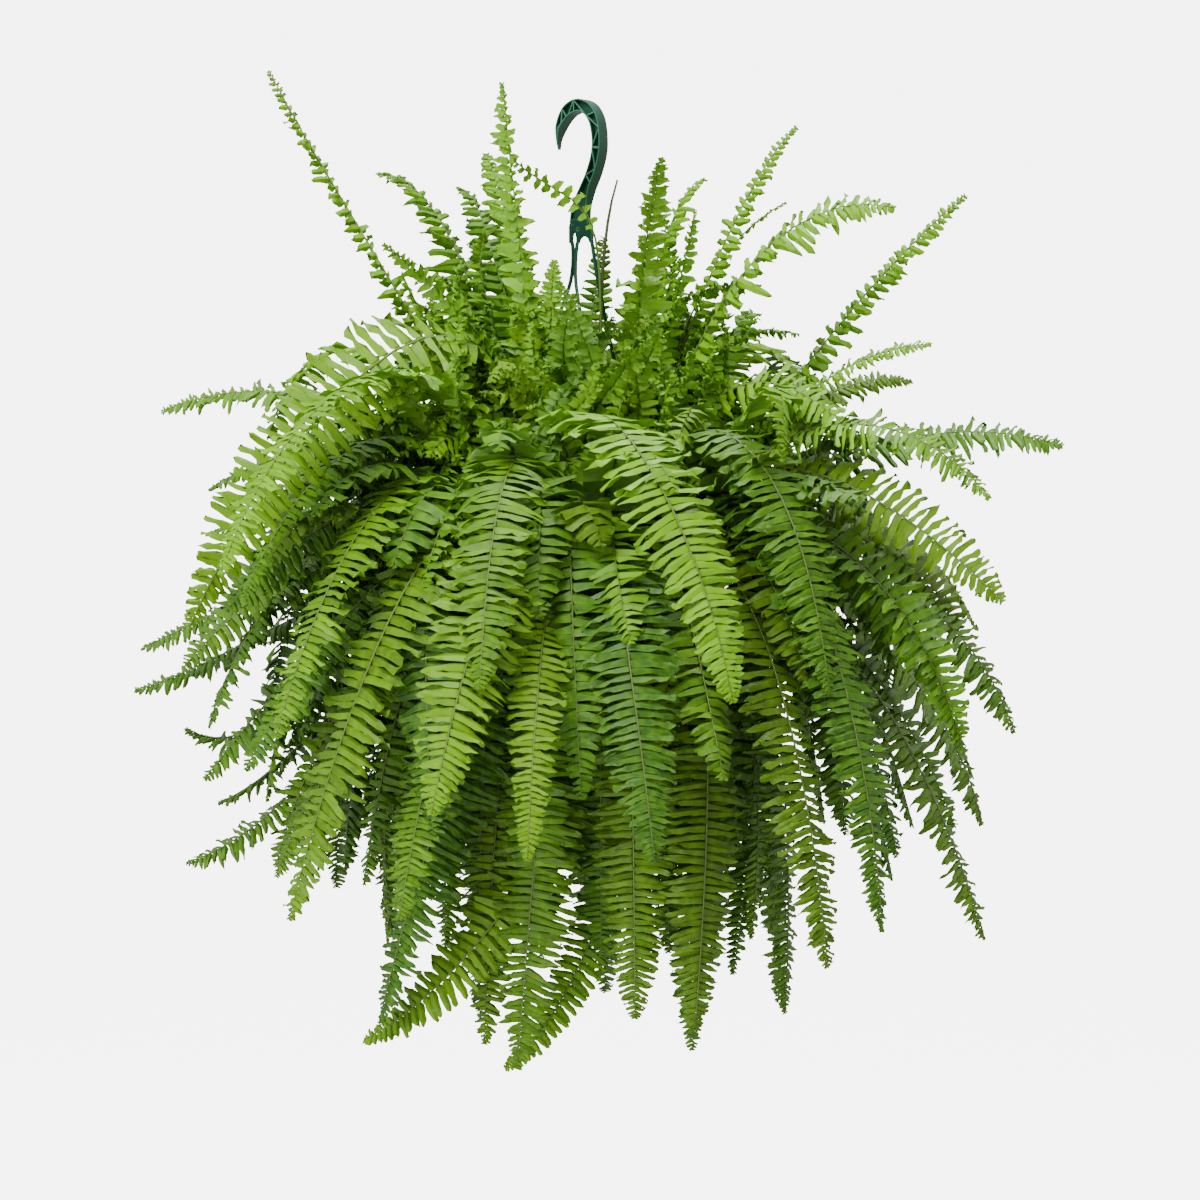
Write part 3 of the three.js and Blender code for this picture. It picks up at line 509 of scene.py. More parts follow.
# Its thickness, and what share of that it has along its length
LEAFLET_THICK = 0.5 * MM
THICK_AT = [0, 0.9, 1]
THICK_SHARES = [1.6, 0.8, 0.3]
# Its length and width: a draw, and the least that is added to a share
LENGTH_DRAW = (0.86, 1.08)
LEAST_LENGTH = 2.5 * MM
WIDTH_DRAW = (0.88, 1.1)
WIDTH_SHARE = 0.42
LEAST_WIDTH = 1.6 * MM
# How far it leans to the frond's tip in degrees, at the foot, at the tip and by a draw
LEAN = 2
TIP_LEAN = 22
LEAN_DRAW = (-7, 7)

# How leaflets stand on a blade: how far apart, as a share of the blade's half width, how many more
# of them than that gives, how much closer near the tip, and where each side's first one stands
SPACING_SHARE = 0.185
LEAST_SPACING = 6.0 * MM
PAIR_GAIN = 1.1
CROWDING = 1.3
SIDE_STARTS = {1: 0.7, -1: 0.3}
# Which fronds have many rings, and the habit of fresh, upright and hidden ones
BROAD = 33
FRONT_SPREAD = 55
FRESH = 0.05
FRESH_WILD = 2.2
UPRIGHT_TIP = -100
UPRIGHT_SPACING = 8.5 * MM
UPRIGHT_WILD = 1.5
BACK_SPACING = 7.0 * MM


def leaflet_rings(frond):
    """Nine rings for a broad frond in front, five for a hidden one and seven for the rest."""
    if "back" in frond.node or frond.half == ADDED[0].half:
        return 5
    return 9 if frond.half >= BROAD and abs(frond.tip_bearing + 90) < FRONT_SPREAD else 7


def leaflet_habit(frond):
    """How far apart a frond's leaflets stand, if not by its width, and how wild they lie."""
    if frond.age <= FRESH:
        return UPRIGHT_SPACING, FRESH_WILD
    if frond.tip[1] > UPRIGHT_TIP:
        return UPRIGHT_SPACING, UPRIGHT_WILD
    return (BACK_SPACING if "back" in frond.node else None), 1.0


def leaflet_points(base, out, along, up, length, width, rng, age, rings, wild):
    """Closed leaflets as rings of three points: the two margins and the midrib above them. Each
    one runs out from its base, bends towards the frond's tip as its share squared and droops as
    its share to a power. Its outline is a table of widths with an ear near the base on the tip's
    side and scalloped by every second ring, its margins hang lower than its midrib and ripple as
    a sine, and it twists about its length."""
    share = RING_SHARES[rings]
    count = len(base)

    def vary(spread):
        return rng.uniform(*spread, (count, 1))

    u = share[None, :]
    hand = np.sign((np.cross(out, along) * up).sum(1))[:, None]
    droop = vary(DROOP) * wild + AGE_DROOP * age
    curl = vary(CURL) * wild
    sag = droop * u ** DROOP_POWER + curl * np.maximum(u - CURL_FROM, 0) ** 2
    bend = vary(BEND) * SICKLE
    middle = (base[:, None] + out[:, None] * (length[:, None] * u)[..., None]
              + along[:, None] * (bend * length[:, None] * u ** 2)[..., None]
              - up[:, None] * (length[:, None] * sag)[..., None])
    twist = (TWIST + TIP_TWIST * u + vary(TWIST_DRAW) * wild + vary(TIP_TWIST_DRAW) * wild * u)[..., None]
    side = along[:, None] * np.cos(twist) + up[:, None] * np.sin(twist)
    face = up[:, None] * np.cos(twist) - along[:, None] * np.sin(twist)
    half = 0.5 * width[:, None] * np.interp(u, OUTLINE_AT, OUTLINE)
    teeth = SCALLOP * np.where(np.arange(rings) % 2, 1, -1)[None] * (share < SCALLOP_END)
    ear = EAR * np.exp(-((u - EAR_AT) / EAR_REACH) ** 2)
    fold = vary(FOLD)
    ripple = vary(RIPPLE) * width[:, None]
    phase = vary((0, 1))
    beat = vary(BEATS)
    near = half * (1 + teeth + ear)
    far = half * (1 - teeth)
    near_lift = fold * half + ripple * np.sin(2 * math.pi * (beat * u + phase)) * u
    far_lift = fold * half + ripple * np.sin(2 * math.pi * (beat * u + phase + FAR_PHASE)) * u
    thick = 0.5 * LEAFLET_THICK * np.interp(u, THICK_AT, THICK_SHARES)
    towards = middle + side * near[..., None] + face * near_lift[..., None]
    away = middle - side * far[..., None] + face * far_lift[..., None]
    chord = (near_lift * far + far_lift * near) / (near + far)
    top = middle + face * (np.maximum(chord, 0) + thick)[..., None]
    right = (hand > 0)[..., None]
    return np.stack([np.where(right, towards, away), top, np.where(right, away, towards)], 2)


def leaflet_uv(rings):
    """Corners of one leaflet's faces in its own map: its share along, and round from 0 over the
    top to 2."""
    share = RING_SHARES[rings]
    bands = [[(low, start), (low, end), (high, end), (high, start)]
             for low, high in zip(share, share[1:]) for start, end in ((0, 0.5), (0.5, 1), (1, 2))]
    return np.array(bands + [[(0, 1.5)] * 4, [(1, 0.5)] * 4])


def stalk_arrays(frond, total, sway, sides, stout):
    """A stalk: a closed tube from the foot in the soil along the arch, whose radius goes evenly from
    one to the next of a table."""
    lengths = np.linspace(0, total, 4 * sides)
    at, _, across, up = stations(frond, lengths, sway)
    root, bearing = frond.root * MM, math.radians(frond.bearing)
    foot = [[root * math.cos(bearing), root * math.sin(bearing), SOIL_TOP - ROOT_DEPTH]]
    at, across, up = (np.concatenate(pair) for pair in ((foot, at), (across[:1], across), (up[:1], up)))
    share = np.concatenate([[0], lengths / total])
    radius = MM * stout * np.interp(share, STALK_AT, STALK_RADII)
    points = tube(at, across, up, radius, sides).reshape(-1, 3)
    faces = tube_faces(len(at), sides)
    values = {"reach": np.repeat(share, sides), "chance": np.full(len(points), 0.5)}
    return Arrays(points, faces, np.zeros(len(faces)), np.zeros((len(faces), 4, 2)), values,
                  np.zeros(len(points), int))


def leaflet_arrays(frond, side, pairs, stipe, blade, sway, rng, rings, wild):
    """The leaflets at one side of a blade. A leaflet's place is 1 less a power of the share that is
    left to the tip, so they stand closer together there, and each is about as wide as its gap."""
    x = (np.arange(pairs) + SIDE_STARTS[side]) / pairs
    share = 1 - (1 - x) ** CROWDING
    gap = blade * CROWDING * (1 - x) ** (CROWDING - 1) / pairs
    at, along, across, up = stations(frond, stipe + share * blade, sway)
    length = frond.half * MM * blade_width(share) * rng.uniform(*LENGTH_DRAW, pairs) + LEAST_LENGTH
    width = np.minimum(gap * rng.uniform(*WIDTH_DRAW, pairs), WIDTH_SHARE * length + LEAST_WIDTH)
    lean = np.radians(LEAN + TIP_LEAN * share ** 3 + rng.uniform(*LEAN_DRAW, pairs))[:, None]
    out = side * across * np.cos(lean) + along * np.sin(lean)
    tip_side = along * np.cos(lean) - side * across * np.sin(lean)
    points = leaflet_points(at, out, tip_side, up, length, width, rng, frond.age, rings, wild)
    each = rings * 3
    faces = shifted(tube_faces(rings, 3)[None], each * np.arange(pairs)[:, None, None]).reshape(-1, 4)
    values = {"reach": np.repeat(share, each), "chance": np.repeat(rng.uniform(0, 1, pairs), each)}
    return Arrays(points.reshape(-1, 3), faces, np.ones(len(faces)),
                  np.tile(leaflet_uv(rings), (pairs, 1, 1)), values, np.tile([1, 3, 2], rings * pairs))


def frond_arrays(frond, rng, rings, sides, stipe=STIPE_LENGTH, spacing=None, wild=1.0, stout=1.0):
    """One frond: its stalk and the leaflets at both sides of its blade."""
    total = arch_length(frond)[0][-1]
    blade = total - stipe
    half = frond.half * MM
    sway = (rng.uniform(*SWAY_BEATS), rng.uniform(0, 1), SWAY_REACH * wild * rng.uniform(-1, 1),
            SWAY_TWIST * wild * rng.uniform(-1, 1))
    spacing = spacing or max(SPACING_SHARE * half, LEAST_SPACING)
    pairs = max(int(PAIR_GAIN * blade / spacing), 0)
    parts = [stalk_arrays(frond, total, sway, sides, stout)]
    if pairs:
        parts += [leaflet_arrays(frond, side, pairs, stipe, blade, sway, rng, rings, wild)
                  for side in SIDE_STARTS]
    whole = join(parts)
    for key, value in (("age", frond.age), ("tone", rng.uniform(0, 1))):
        whole.values[key] = np.full(len(whole.points), value)
    return whole


# The hook: how its plane is turned about the axis, and its middle line in that plane, from its tip
HOOK_TURN = math.radians(-30)
HOOK_LINE = [
    (-20, -29), (-20, -20), (-17, -9), (-10, 1), (-0.5, 5), (8.5, 2), (14.5, -7), (17, -20),
    (16.5, -33), (12, -48), (5.5, -62), (0.5, -75), (-1, -88),
]
# Its width, half its depth in its plane at the tip, at the top and down its stem, and at which
# shares of its line those stand
HOOK_WIDTH = 13.6
HOOK_TIP_HALF = 0.9
HOOK_TOP_HALF = 5
HOOK_STEM_HALF = 3.8
HOOK_TIP_SHARE = 0.03
HOOK_TOP_SHARE = 0.28
HOOK_STEM_SHARE = 0.55
# Its channel: how thick its flanges are, how deep it is, half its least width and its corners
HOOK_FLANGE = 1.2
HOOK_CHANNEL = 5
HOOK_LEAST = 0.15
HOOK_CORNER = 0.35
HOOK_STATIONS = 120
# Where its tip tapers to a wedge, where the channel opens and where the stem flares to the hub
TIP_TAPER_TOP = -12
TIP_TAPER_END = -30
TIP_SIDE = -9
TIP_WIDTH = 2
HOOK_OPEN = (0.1, 0.17)
STEM_FLARE = (0.76, 1.0)
STEM_END = (8.6, 2.3)
# A rib's thickness, and its section as shares of half of that and depths under the flanges' edge
RIB_THICK = 1.1
RIB_PROFILE = np.array([
    (1, HOOK_CHANNEL + 0.3), (1, 0.6), (0.4, 0.3), (-0.4, 0.3), (-1, 0.6), (-1, HOOK_CHANNEL + 0.3)])
# The thick rib's share along the hook and its thickness
CROSS_RIB = (0.58, 2.0)
# Where each rib starts and ends: its share along the hook, and 1 on the outer flange or -1 on the
# inner one
RIBS = [
    (0.143, -1, 0.21, 1), (0.21, 1, 0.195, -1), (0.217, -1, 0.277, 1), (0.277, 1, 0.262, -1),
    (0.277, 1, 0.387, -1), (0.387, -1, 0.4, 1), (0.387, -1, 0.479, 1), (0.479, 1, 0.567, -1),
    (0.592, -1, 0.689, 1), (0.689, 1, 0.739, -1), (0.739, -1, 0.765, 1),
]
# The hub, a plate: the heights of its top and its bottom, how tall its shoulder is, half its width
# at the bottom and at the top, and its thickness
HUB_TOP = -84
HUB_BOTTOM = -103
HUB_SHOULDER = 6
HUB_HALF = 10.5
HUB_NARROW = 8.4
HUB_THICK = 4
# Its round edge: how far in it starts, how far it drops, and the height that its shares are taken of
HUB_EDGE = 0.9
HUB_ROUND = 0.6
HUB_TALL = 20
HUB_COLUMNS = 65
HUB_ROWS = 16
# Each arch of the hub's lower edge: its middle, its half width and its height
HUB_ARCHES = [(-5.8, 2.4, 8.5), (3.3, 4.7, 5.0)]
# The round marks on the hub, dished within a low rim: their place and radius, and their sides
MARKS = [(-6.6, -88.8, 1.1), (-1.8, -92.4, 1.8)]
MARK_SIDES = 16
# Each leg: the bearing of its slot, its place in the hub, and its knee's place along and behind it
LEGS = [(170, -9.2, -6.6, 1.7), (-70, -2.2, -5.4, -1.9), (50, 9.2, 12.6, 0.6)]
# A leg bows out by its share to a power at these shares between its knee and its ankle
LEG_BOW = 1.15
LEG_BOW_AT = (0.04, 0.12, 0.3, 0.5, 0.7, 0.9)
LEG_RADIUS = 1.55
LEG_RINGS = 64
LEG_SIDES = 8
# The slots' distance from the axis, how deep a leg stands in the hub, how far its knee is under the
# hub and its ankle over the lip, and how far it goes straight over and under the lip
LEG_SLOT_RADIUS = 130
LEG_SINK = 4
LEG_DROP = 16
LEG_BEND = 14
LEG_STRAIGHT = 4
# A barb: where it is under the lip, heights with shares of its half sizes out from the pot and along
# the lip, and its sides
BARB_DROP = 2
BARB_PLACES = [(-3.4, 0.45), (-1.9, 1.0), (-0.4, 1.0), (0.2, 0.55)]
BARB_HALF = (2.1, 4.9)
BARB_SIDES = 12


def smooth(value, low, high):
    """A smooth step from 0 at low to 1 at high: the share squared times 3 less twice the share."""
    share = np.clip((value - low) / (high - low), 0, 1)
    return share * share * (3 - 2 * share)


def circle(count):
    """Even turns round a circle."""
    return np.linspace(0, 2 * math.pi, count + 1)[:-1]


def line_through(corners, count):
    """Even places along a smooth line through corners: a cubic between each two, whose slope at a
    corner is half the way from the corner before it to the one after it."""
    corners = np.array(corners, float)
    slopes = np.gradient(corners, axis=0)
    t = np.linspace(0, len(corners) - 1, 40 * len(corners))
    i = np.minimum(t.astype(int), len(corners) - 2)
    f = (t - i)[:, None]
    pulls = (
        (2 * f ** 3 - 3 * f ** 2 + 1, corners[i]), (f ** 3 - 2 * f ** 2 + f, slopes[i]),
        (3 * f ** 2 - 2 * f ** 3, corners[i + 1]), (f ** 3 - f ** 2, slopes[i + 1]))
    line = sum(share * value for share, value in pulls)
    run = np.concatenate([[0], np.cumsum(np.linalg.norm(np.diff(line, axis=0), axis=1))])
    even = np.linspace(0, run[-1], count)
    return np.stack([np.interp(even, run, line[:, k]) for k in range(line.shape[1])], 1)


class Rings:
    """Closed tubes gathered into one piece, with a mark from 0 to 1 of how much paler each point is
    painted: partly wear, partly a painted highlight on edges and ridges. The ends of a flat one are
    closed by strips from its near half to its far half."""

    def __init__(self):
        self.points = []
        self.faces = []
        self.worn = []
        self.count = 0

    def add(self, rings, worn, flat=False):
        length, sides = rings.shape[:2]
        self.points.append(rings.reshape(-1, 3))
        faces = tube_faces(length, sides)
        if flat:
            i = np.arange(sides // 2 - 1)
            strip = np.stack([i, i + 1, sides - 2 - i, sides - 1 - i], 1)
            faces[(length - 1) * sides:] = np.concatenate([strip[:, ::-1], strip + (length - 1) * sides])
        self.faces.append(shifted(faces, self.count))
        self.worn.append(np.broadcast_to(worn, (length, sides)).ravel())
        self.count += length * sides

    def piece(self, name, material, node, slot):
        points = np.concatenate(self.points) * MM
        faces = np.concatenate(self.faces)
        arrays = Arrays(points, faces, np.zeros(len(faces)), np.zeros((len(faces), 4, 2)),
                        {"worn": np.concatenate(self.worn)}, np.zeros(len(points), int))
        new_piece(name, arrays, [material], node, soft=False)


def hook_stations():
    """The hook's line in its own plane, the way out of its bend, and half its size that way and
    across its plane."""
    line = line_through(HOOK_LINE, HOOK_STATIONS)
    along = unit(np.gradient(line, axis=0))
    out = np.stack([-along[:, 1], along[:, 0]], 1)
    u = np.linspace(0, 1, HOOK_STATIONS)
    grown = smooth(u, HOOK_TIP_SHARE, HOOK_TOP_SHARE)
    slimmed = smooth(u, HOOK_TOP_SHARE, HOOK_STEM_SHARE)
    half = (HOOK_TIP_HALF + (HOOK_TOP_HALF - HOOK_TIP_HALF) * grown
            - (HOOK_TOP_HALF - HOOK_STEM_HALF) * slimmed)
    slim = np.clip((TIP_TAPER_TOP - line[:, 1]) / (TIP_TAPER_TOP - TIP_TAPER_END), 0, 1)
    slim = slim * (line[:, 0] < TIP_SIDE)
    deep = 0.5 * (HOOK_WIDTH + (TIP_WIDTH - HOOK_WIDTH) * slim)
    flare = smooth(u, *STEM_FLARE)
    return line, out, half + (STEM_END[0] - half) * flare, deep + (STEM_END[1] - deep) * flare


def hook_rings(rings):
    """The hook: a channel swept along its line, open towards the viewer, whose two flanges are
    joined by thin ribs in a zigzag and one thick rib across. Its tip is a solid wedge, and its
    stem widens and thins into the hub."""
    line, out, half, deep = hook_stations()
    u = np.linspace(0, 1, HOOK_STATIONS)
    open_share = smooth(u, *HOOK_OPEN)
    c = HOOK_CORNER
    floor = -deep + open_share * np.minimum(HOOK_CHANNEL, deep)
    inner = np.maximum(half - HOOK_FLANGE, HOOK_LEAST)
    profile = [
        (half, -deep + c), (half, deep - c), (half - c, deep), (-half + c, deep),
        (-half, deep - c), (-half, -deep + c), (-half + c, -deep), (-inner - c * 0.4, -deep),
        (-inner, -deep + c * 0.6), (-inner, floor), (inner, floor), (inner, -deep + c * 0.6),
        (inner + c * 0.4, -deep), (half - c, -deep),
    ]
    across = np.stack([np.broadcast_to(a, HOOK_STATIONS) for a, _ in profile], 1)
    depth = np.stack([np.broadcast_to(b, HOOK_STATIONS) for _, b in profile], 1)
    flat = line[:, None] + out[:, None] * across[..., None]
    shell = np.stack([flat[..., 0], depth, flat[..., 1]], -1)
    # Paler marks at the flange corners by the channel and at the outer corners: partly wear, partly a
    # painted highlight
    worn = np.array([0.15, 0, 0.1, 0.1, 0, 0.1, 0.5, 0.9, 0.2, 0, 0, 0.2, 0.9, 0.5])
    rings.add(shell, worn)

    # The ribs, from flange to flange
    def place(share, side):
        lines = (line[:, 0], line[:, 1], out[:, 0], out[:, 1], half, deep)
        x, z, out_x, out_z, half_here, deep_here = (np.interp(share, u, values) for values in lines)
        reach = side * (half_here - 0.5 * HOOK_FLANGE)
        return np.array([x + out_x * reach, z + out_z * reach]), deep_here

    bars = [(place(start, side), place(end, end_side), RIB_THICK) for start, side, end, end_side in RIBS]
    bars.append((place(CROSS_RIB[0], 1), place(CROSS_RIB[0], -1), CROSS_RIB[1]))
    for (start, start_deep), (end, end_deep), thick in bars:
        side = unit(np.array([end[1] - start[1], start[0] - end[0]])) * 0.5 * thick
        flat = np.array([start, end])[:, None] + side * RIB_PROFILE[:, :1]
        depth = RIB_PROFILE[:, 1] - np.array([start_deep, end_deep])[:, None]
        # Each rib is paler along its top: partly wear, partly a painted highlight
        rings.add(np.stack([flat[..., 0], depth, flat[..., 1]], -1), [0, 0.7, 1, 1, 0.7, 0])


def hub_rings(rings):
    """The hub: a plate that narrows to its top by a smooth step, whose lower edge rises in two half
    ellipses and whose edges are rounded by quarters of one, and two round marks on its face."""
    s = np.linspace(-1, 1, HUB_COLUMNS)
    t = np.linspace(0, 1, HUB_ROWS)
    low = HUB_BOTTOM
    for middle, radius, rise in HUB_ARCHES:
        low = low + rise * np.sqrt(np.clip(1 - ((s * HUB_HALF - middle) / radius) ** 2, 0, 1))
    height = HUB_TOP + (low[None] - HUB_TOP) * t[:, None]
    width = HUB_HALF - (HUB_HALF - HUB_NARROW) * (1 - smooth(HUB_TOP - height, 0, HUB_SHOULDER))
    x = s[None] * width
    edge = np.minimum((1 - np.abs(s))[None] * HUB_HALF, (np.minimum(t, 1 - t) * HUB_TALL)[:, None])
    inset = 1 - np.clip(edge / HUB_EDGE, 0, 1)
    face = 0.5 * HUB_THICK - HUB_ROUND * (1 - np.sqrt(np.clip(1 - inset ** 2, 0, 1)))
    front = np.stack([x, -face, height], -1)
    back = np.stack([x, face, height], -1)[:, ::-1]
    # The hub's rounded edges are paler: partly wear, partly a painted highlight
    worn = np.where(edge < HUB_ROUND, 0.8, 0.0)
    rings.add(np.concatenate([front, back], 1), np.concatenate([worn, worn[:, ::-1]], 1), flat=True)
    for x, z, size in MARKS:
        profile = [(size, -0.4), (size, 0.25), (size - 0.35, 0.3), (0.4 * size, 0.05)]
        radius, rise = np.array(profile).T[..., None]
        turn = circle(MARK_SIDES)
        depth = np.broadcast_to(-0.5 * HUB_THICK - rise, (len(profile), MARK_SIDES))
        disc = np.stack([x + radius * np.cos(turn), depth, z + radius * np.sin(turn)], -1)
        # The marks' rims are paler: partly wear, partly a painted highlight
        rings.add(disc, np.array([[0], [0.8], [0.8], [0]]))


def leg_rings(rings, bearing, start, knee_place, behind):
    """A leg: a round rod along a smooth line from the hub to the pot's lip, which bows between its
    knee and its ankle by its share to a power, with a barb of ellipses under the lip."""
    direction = np.array([math.cos(math.radians(bearing)), math.sin(math.radians(bearing)), 0])
    aside = np.array([-direction[1], direction[0], 0])
    turn = np.array([math.cos(HOOK_TURN), math.sin(HOOK_TURN), 0])
    rim = direction * LEG_SLOT_RADIUS
    lip = POT_RIM / MM
    upright = np.array([0, 0, 1])
    top = start * turn + upright * (HUB_BOTTOM + LEG_SINK)
    back = np.array([-turn[1], turn[0], 0])
    knee = knee_place * turn + behind * back + upright * (HUB_BOTTOM - LEG_DROP)
    ankle = rim + upright * (lip + LEG_BEND)
    drop = ankle - knee
    bowed = [knee + drop * np.array([v ** LEG_BOW, v ** LEG_BOW, v]) for v in LEG_BOW_AT]
    corners = [top, 0.5 * (top + knee), *bowed, ankle - upright, rim + upright * (lip + LEG_STRAIGHT),
               rim + upright * (lip - LEG_STRAIGHT)]
    line = line_through(corners, LEG_RINGS)
    along = unit(np.gradient(line, axis=0))
    first = unit(np.cross(along, aside))
    second = np.cross(along, first)
    # Two paler stripes along opposite sides of the leg: partly wear, partly a painted highlight
    worn = np.where(np.arange(LEG_SIDES) % 4 == 0, 0.5, 0.1)
    rings.add(tube(line, first, second, LEG_RADIUS, LEG_SIDES), worn)
    height, share = np.array(BARB_PLACES).T[..., None, None]
    angle = circle(BARB_SIDES)[:, None]
    oval = (BARB_HALF[0] * np.cos(angle) * direction
            + BARB_HALF[1] * np.sin(angle) * aside)
    rings.add(rim + upright * (lip - BARB_DROP + height) + share * oval, 0.2)


# Materials
class Nodes:
    """A short hand for the nodes of a material or a world: each call adds one, sets its plain
    values and links the rest."""

    def __init__(self, owner, shader="Principled BSDF"):
        owner.use_nodes = True
        self.tree = owner.node_tree
        self.shader = self.tree.nodes[shader]

    def put(self, node, inputs):
        for key, value in inputs.items():
            if isinstance(value, bpy.types.NodeSocket):
                self.tree.links.new(value, node.inputs[key])
            else:
                node.inputs[key].default_value = value

    def add(self, kind, inputs=None, **settings):
        node = self.tree.nodes.new(kind)
        for key, value in settings.items():
            setattr(node, key, value)
        self.put(node, inputs or {})
        return node

    def place(self):
        return self.add("ShaderNodeTexCoord").outputs["Object"]

    def value(self, name):
        return self.add("ShaderNodeAttribute", attribute_name=name).outputs["Fac"]

    def math(self, operation, a, b=0.0, clamp=False):
        inputs = {0: a, 1: b}
        return self.add("ShaderNodeMath", inputs, operation=operation, use_clamp=clamp).outputs[0]

    def spread(self, share, gain):
        """How far a share is from a half, times a gain."""
        return self.math("MULTIPLY", self.math("SUBTRACT", share, 0.5), gain)

    def step(self, value, low, high, to_low=0.0, to_high=1.0):
        """A smooth step from one value to another, while the input goes from low to high."""
        inputs = {"Value": value, "From Min": low, "From Max": high, "To Min": to_low, "To Max": to_high}
        node = self.add("ShaderNodeMapRange", inputs, interpolation_type="SMOOTHSTEP")
        return node.outputs["Result"]

    def mix(self, share, base, over):
        inputs = {0: share, 6: base, 7: over}
        return self.add("ShaderNodeMix", inputs, data_type="RGBA").outputs[2]

    def coats(self, base, *coats):
        """A colour with coats of others over it, each by its share."""
        base = colour(base)
        for share, over in coats:
            base = self.mix(share, base, colour(over))
        return base

    def noise(self, vector, scale, detail=3.0):
        inputs = {"Vector": vector, "Scale": scale, "Detail": detail}
        return self.add("ShaderNodeTexNoise", inputs).outputs["Fac"]

    def bump(self, height, strength, distance):
        inputs = {"Height": height, "Strength": strength, "Distance": distance}
        return self.add("ShaderNodeBump", inputs).outputs["Normal"]


def colour(value):
    """A colour with full alpha."""
    return (*value, 1.0)


def leaflet_material(settings):
    """Leaflets: the age and the draw of each leaflet mix young, grown and old green, and its frond's
    tone leans to a cool or a warm one. The midrib and the foot are darker and a thin margin paler,
    side veins are a fine wave across it, and the under side is dull and pale."""
    material = bpy.data.materials.new("fern leaflet")
    n = Nodes(material)
    where = n.place()
    uv = n.add("ShaderNodeUVMap", uv_map="UVMap").outputs["UV"]
    length_share, round_share = n.add("ShaderNodeSeparateXYZ", {"Vector": uv}).outputs[:2]
    across = n.math("ABSOLUTE", n.math("SUBTRACT", n.math("MODULO", round_share, 1.0), 0.5))
    mottle = n.noise(where, 160.0, 4.0)
    frond_age, tone = n.value("age"), n.value("tone")

    # How old each place is: its frond's age with draws, and fresher towards the frond's tip
    age = n.math("ADD", frond_age, n.spread(n.value("chance"), 0.3))
    age = n.math("ADD", age, n.spread(n.noise(where, 9.0), 0.5))
    age = n.math("SUBTRACT", age, n.math("MULTIPLY", n.value("reach"), 0.12), clamp=True)

    # What lies over the green
    foot = n.math("MULTIPLY", length_share, n.step(frond_age, 0.0, 0.6, 3.0, 1.0))
    rib = n.step(across, 0.0, 0.035, 0.45, 0.0)
    under = n.step(round_share, 0.98, 1.02)
    brown = n.step(n.math("MULTIPLY", length_share, n.noise(where, 60.0)), 0.62, 0.78, 0.0, 0.5)
    base = n.coats(
        settings.young,
        (n.step(age, 0.0, 0.5), settings.grown),
        (n.step(age, 0.45, 1.0), settings.old),
        (n.step(tone, 0.0, 0.4, 0.6, 0.0), settings.cool),
        (n.step(tone, 0.65, 1.0, 0.0, 0.6), settings.warm),
        (n.step(mottle, 0.35, 0.75, 0.0, 0.35), settings.young),
        (n.step(across, 0.36, 0.48, 0.0, 0.45), settings.margin),
        (n.step(foot, 0.0, 0.3, 0.4, 0.0), settings.rib),
        (rib, settings.rib),
        (n.math("MULTIPLY", under, n.step(frond_age, 0.0, 0.5, 0.1, 0.45)), settings.under),
        (n.math("MULTIPLY", brown, frond_age), settings.dry))

    slant = n.math("ADD", length_share, n.math("MULTIPLY", across, -0.25))
    veins = n.math("SINE", n.math("MULTIPLY", slant, 130.0))
    height = n.math("ADD", n.math("MULTIPLY", veins, 0.25), n.math("MULTIPLY", rib, -1.6))
    n.put(n.shader, {
        "Base Color": base, "Roughness": n.step(mottle, 0.2, 0.8, 0.34, 0.5), "Specular IOR Level": 0.32,
        "Normal": n.bump(n.math("ADD", height, mottle), 0.5, 0.35 * MM)})
    glow = n.add("ShaderNodeBsdfTranslucent", {"Color": n.mix(0.35, base, colour(settings.young))})
    shaders = {0: settings.translucency, 1: n.shader.outputs[0], 2: glow.outputs[0]}
    both = n.add("ShaderNodeMixShader", shaders)
    n.put(n.tree.nodes["Material Output"], {"Surface": both.outputs[0]})
    return material


def stalk_material(settings):
    """Stalks: fresh green towards the tip, and olive to brown towards the root on older fronds."""
    material = bpy.data.materials.new("fern stalk")
    n = Nodes(material)
    grain = n.noise(n.place(), 220.0, 4.0)
    foot = n.step(n.value("reach"), 0.0, 0.5, 1.0, 0.0)
    brown = n.math("MULTIPLY", n.math("ADD", foot, n.value("age")), 0.6, clamp=True)
    dry = n.step(grain, 0.45, 0.8, 0.0, 0.4)
    base = n.coats(settings.stalk, (brown, settings.stalk_foot), (dry, settings.dry))
    n.put(n.shader, {"Base Color": base, "Roughness": 0.5, "Normal": n.bump(grain, 0.5, 0.2 * MM)})
    return material


def plastic_material(name, base, edge, roughness):
    """Moulded plastic: an even colour with a faint grain and faint pale clouds, paler by a mark at its
    edges and ridges, which is partly wear and partly a painted highlight.
    """
    material = bpy.data.materials.new(name)
    n = Nodes(material)
    where = n.place()
    grain = n.noise(where, 700.0, 2.0)
    cloud = n.noise(where, 30.0)
    # The marked edges take the pale colour in clouds: partly wear, partly a painted highlight
    worn = n.math("MULTIPLY", n.value("worn"), n.step(cloud, 0.25, 0.7, 0.35, 0.95))
    n.put(n.shader, {
        "Base Color": n.coats(base, (worn, edge), (n.step(cloud, 0.4, 0.8, 0.0, 0.1), edge)),
        "Roughness": n.step(grain, 0.2, 0.8, roughness, roughness + 0.15),
        "Specular IOR Level": 0.2, "Normal": n.bump(grain, 0.25, 0.1 * MM)})
    return material


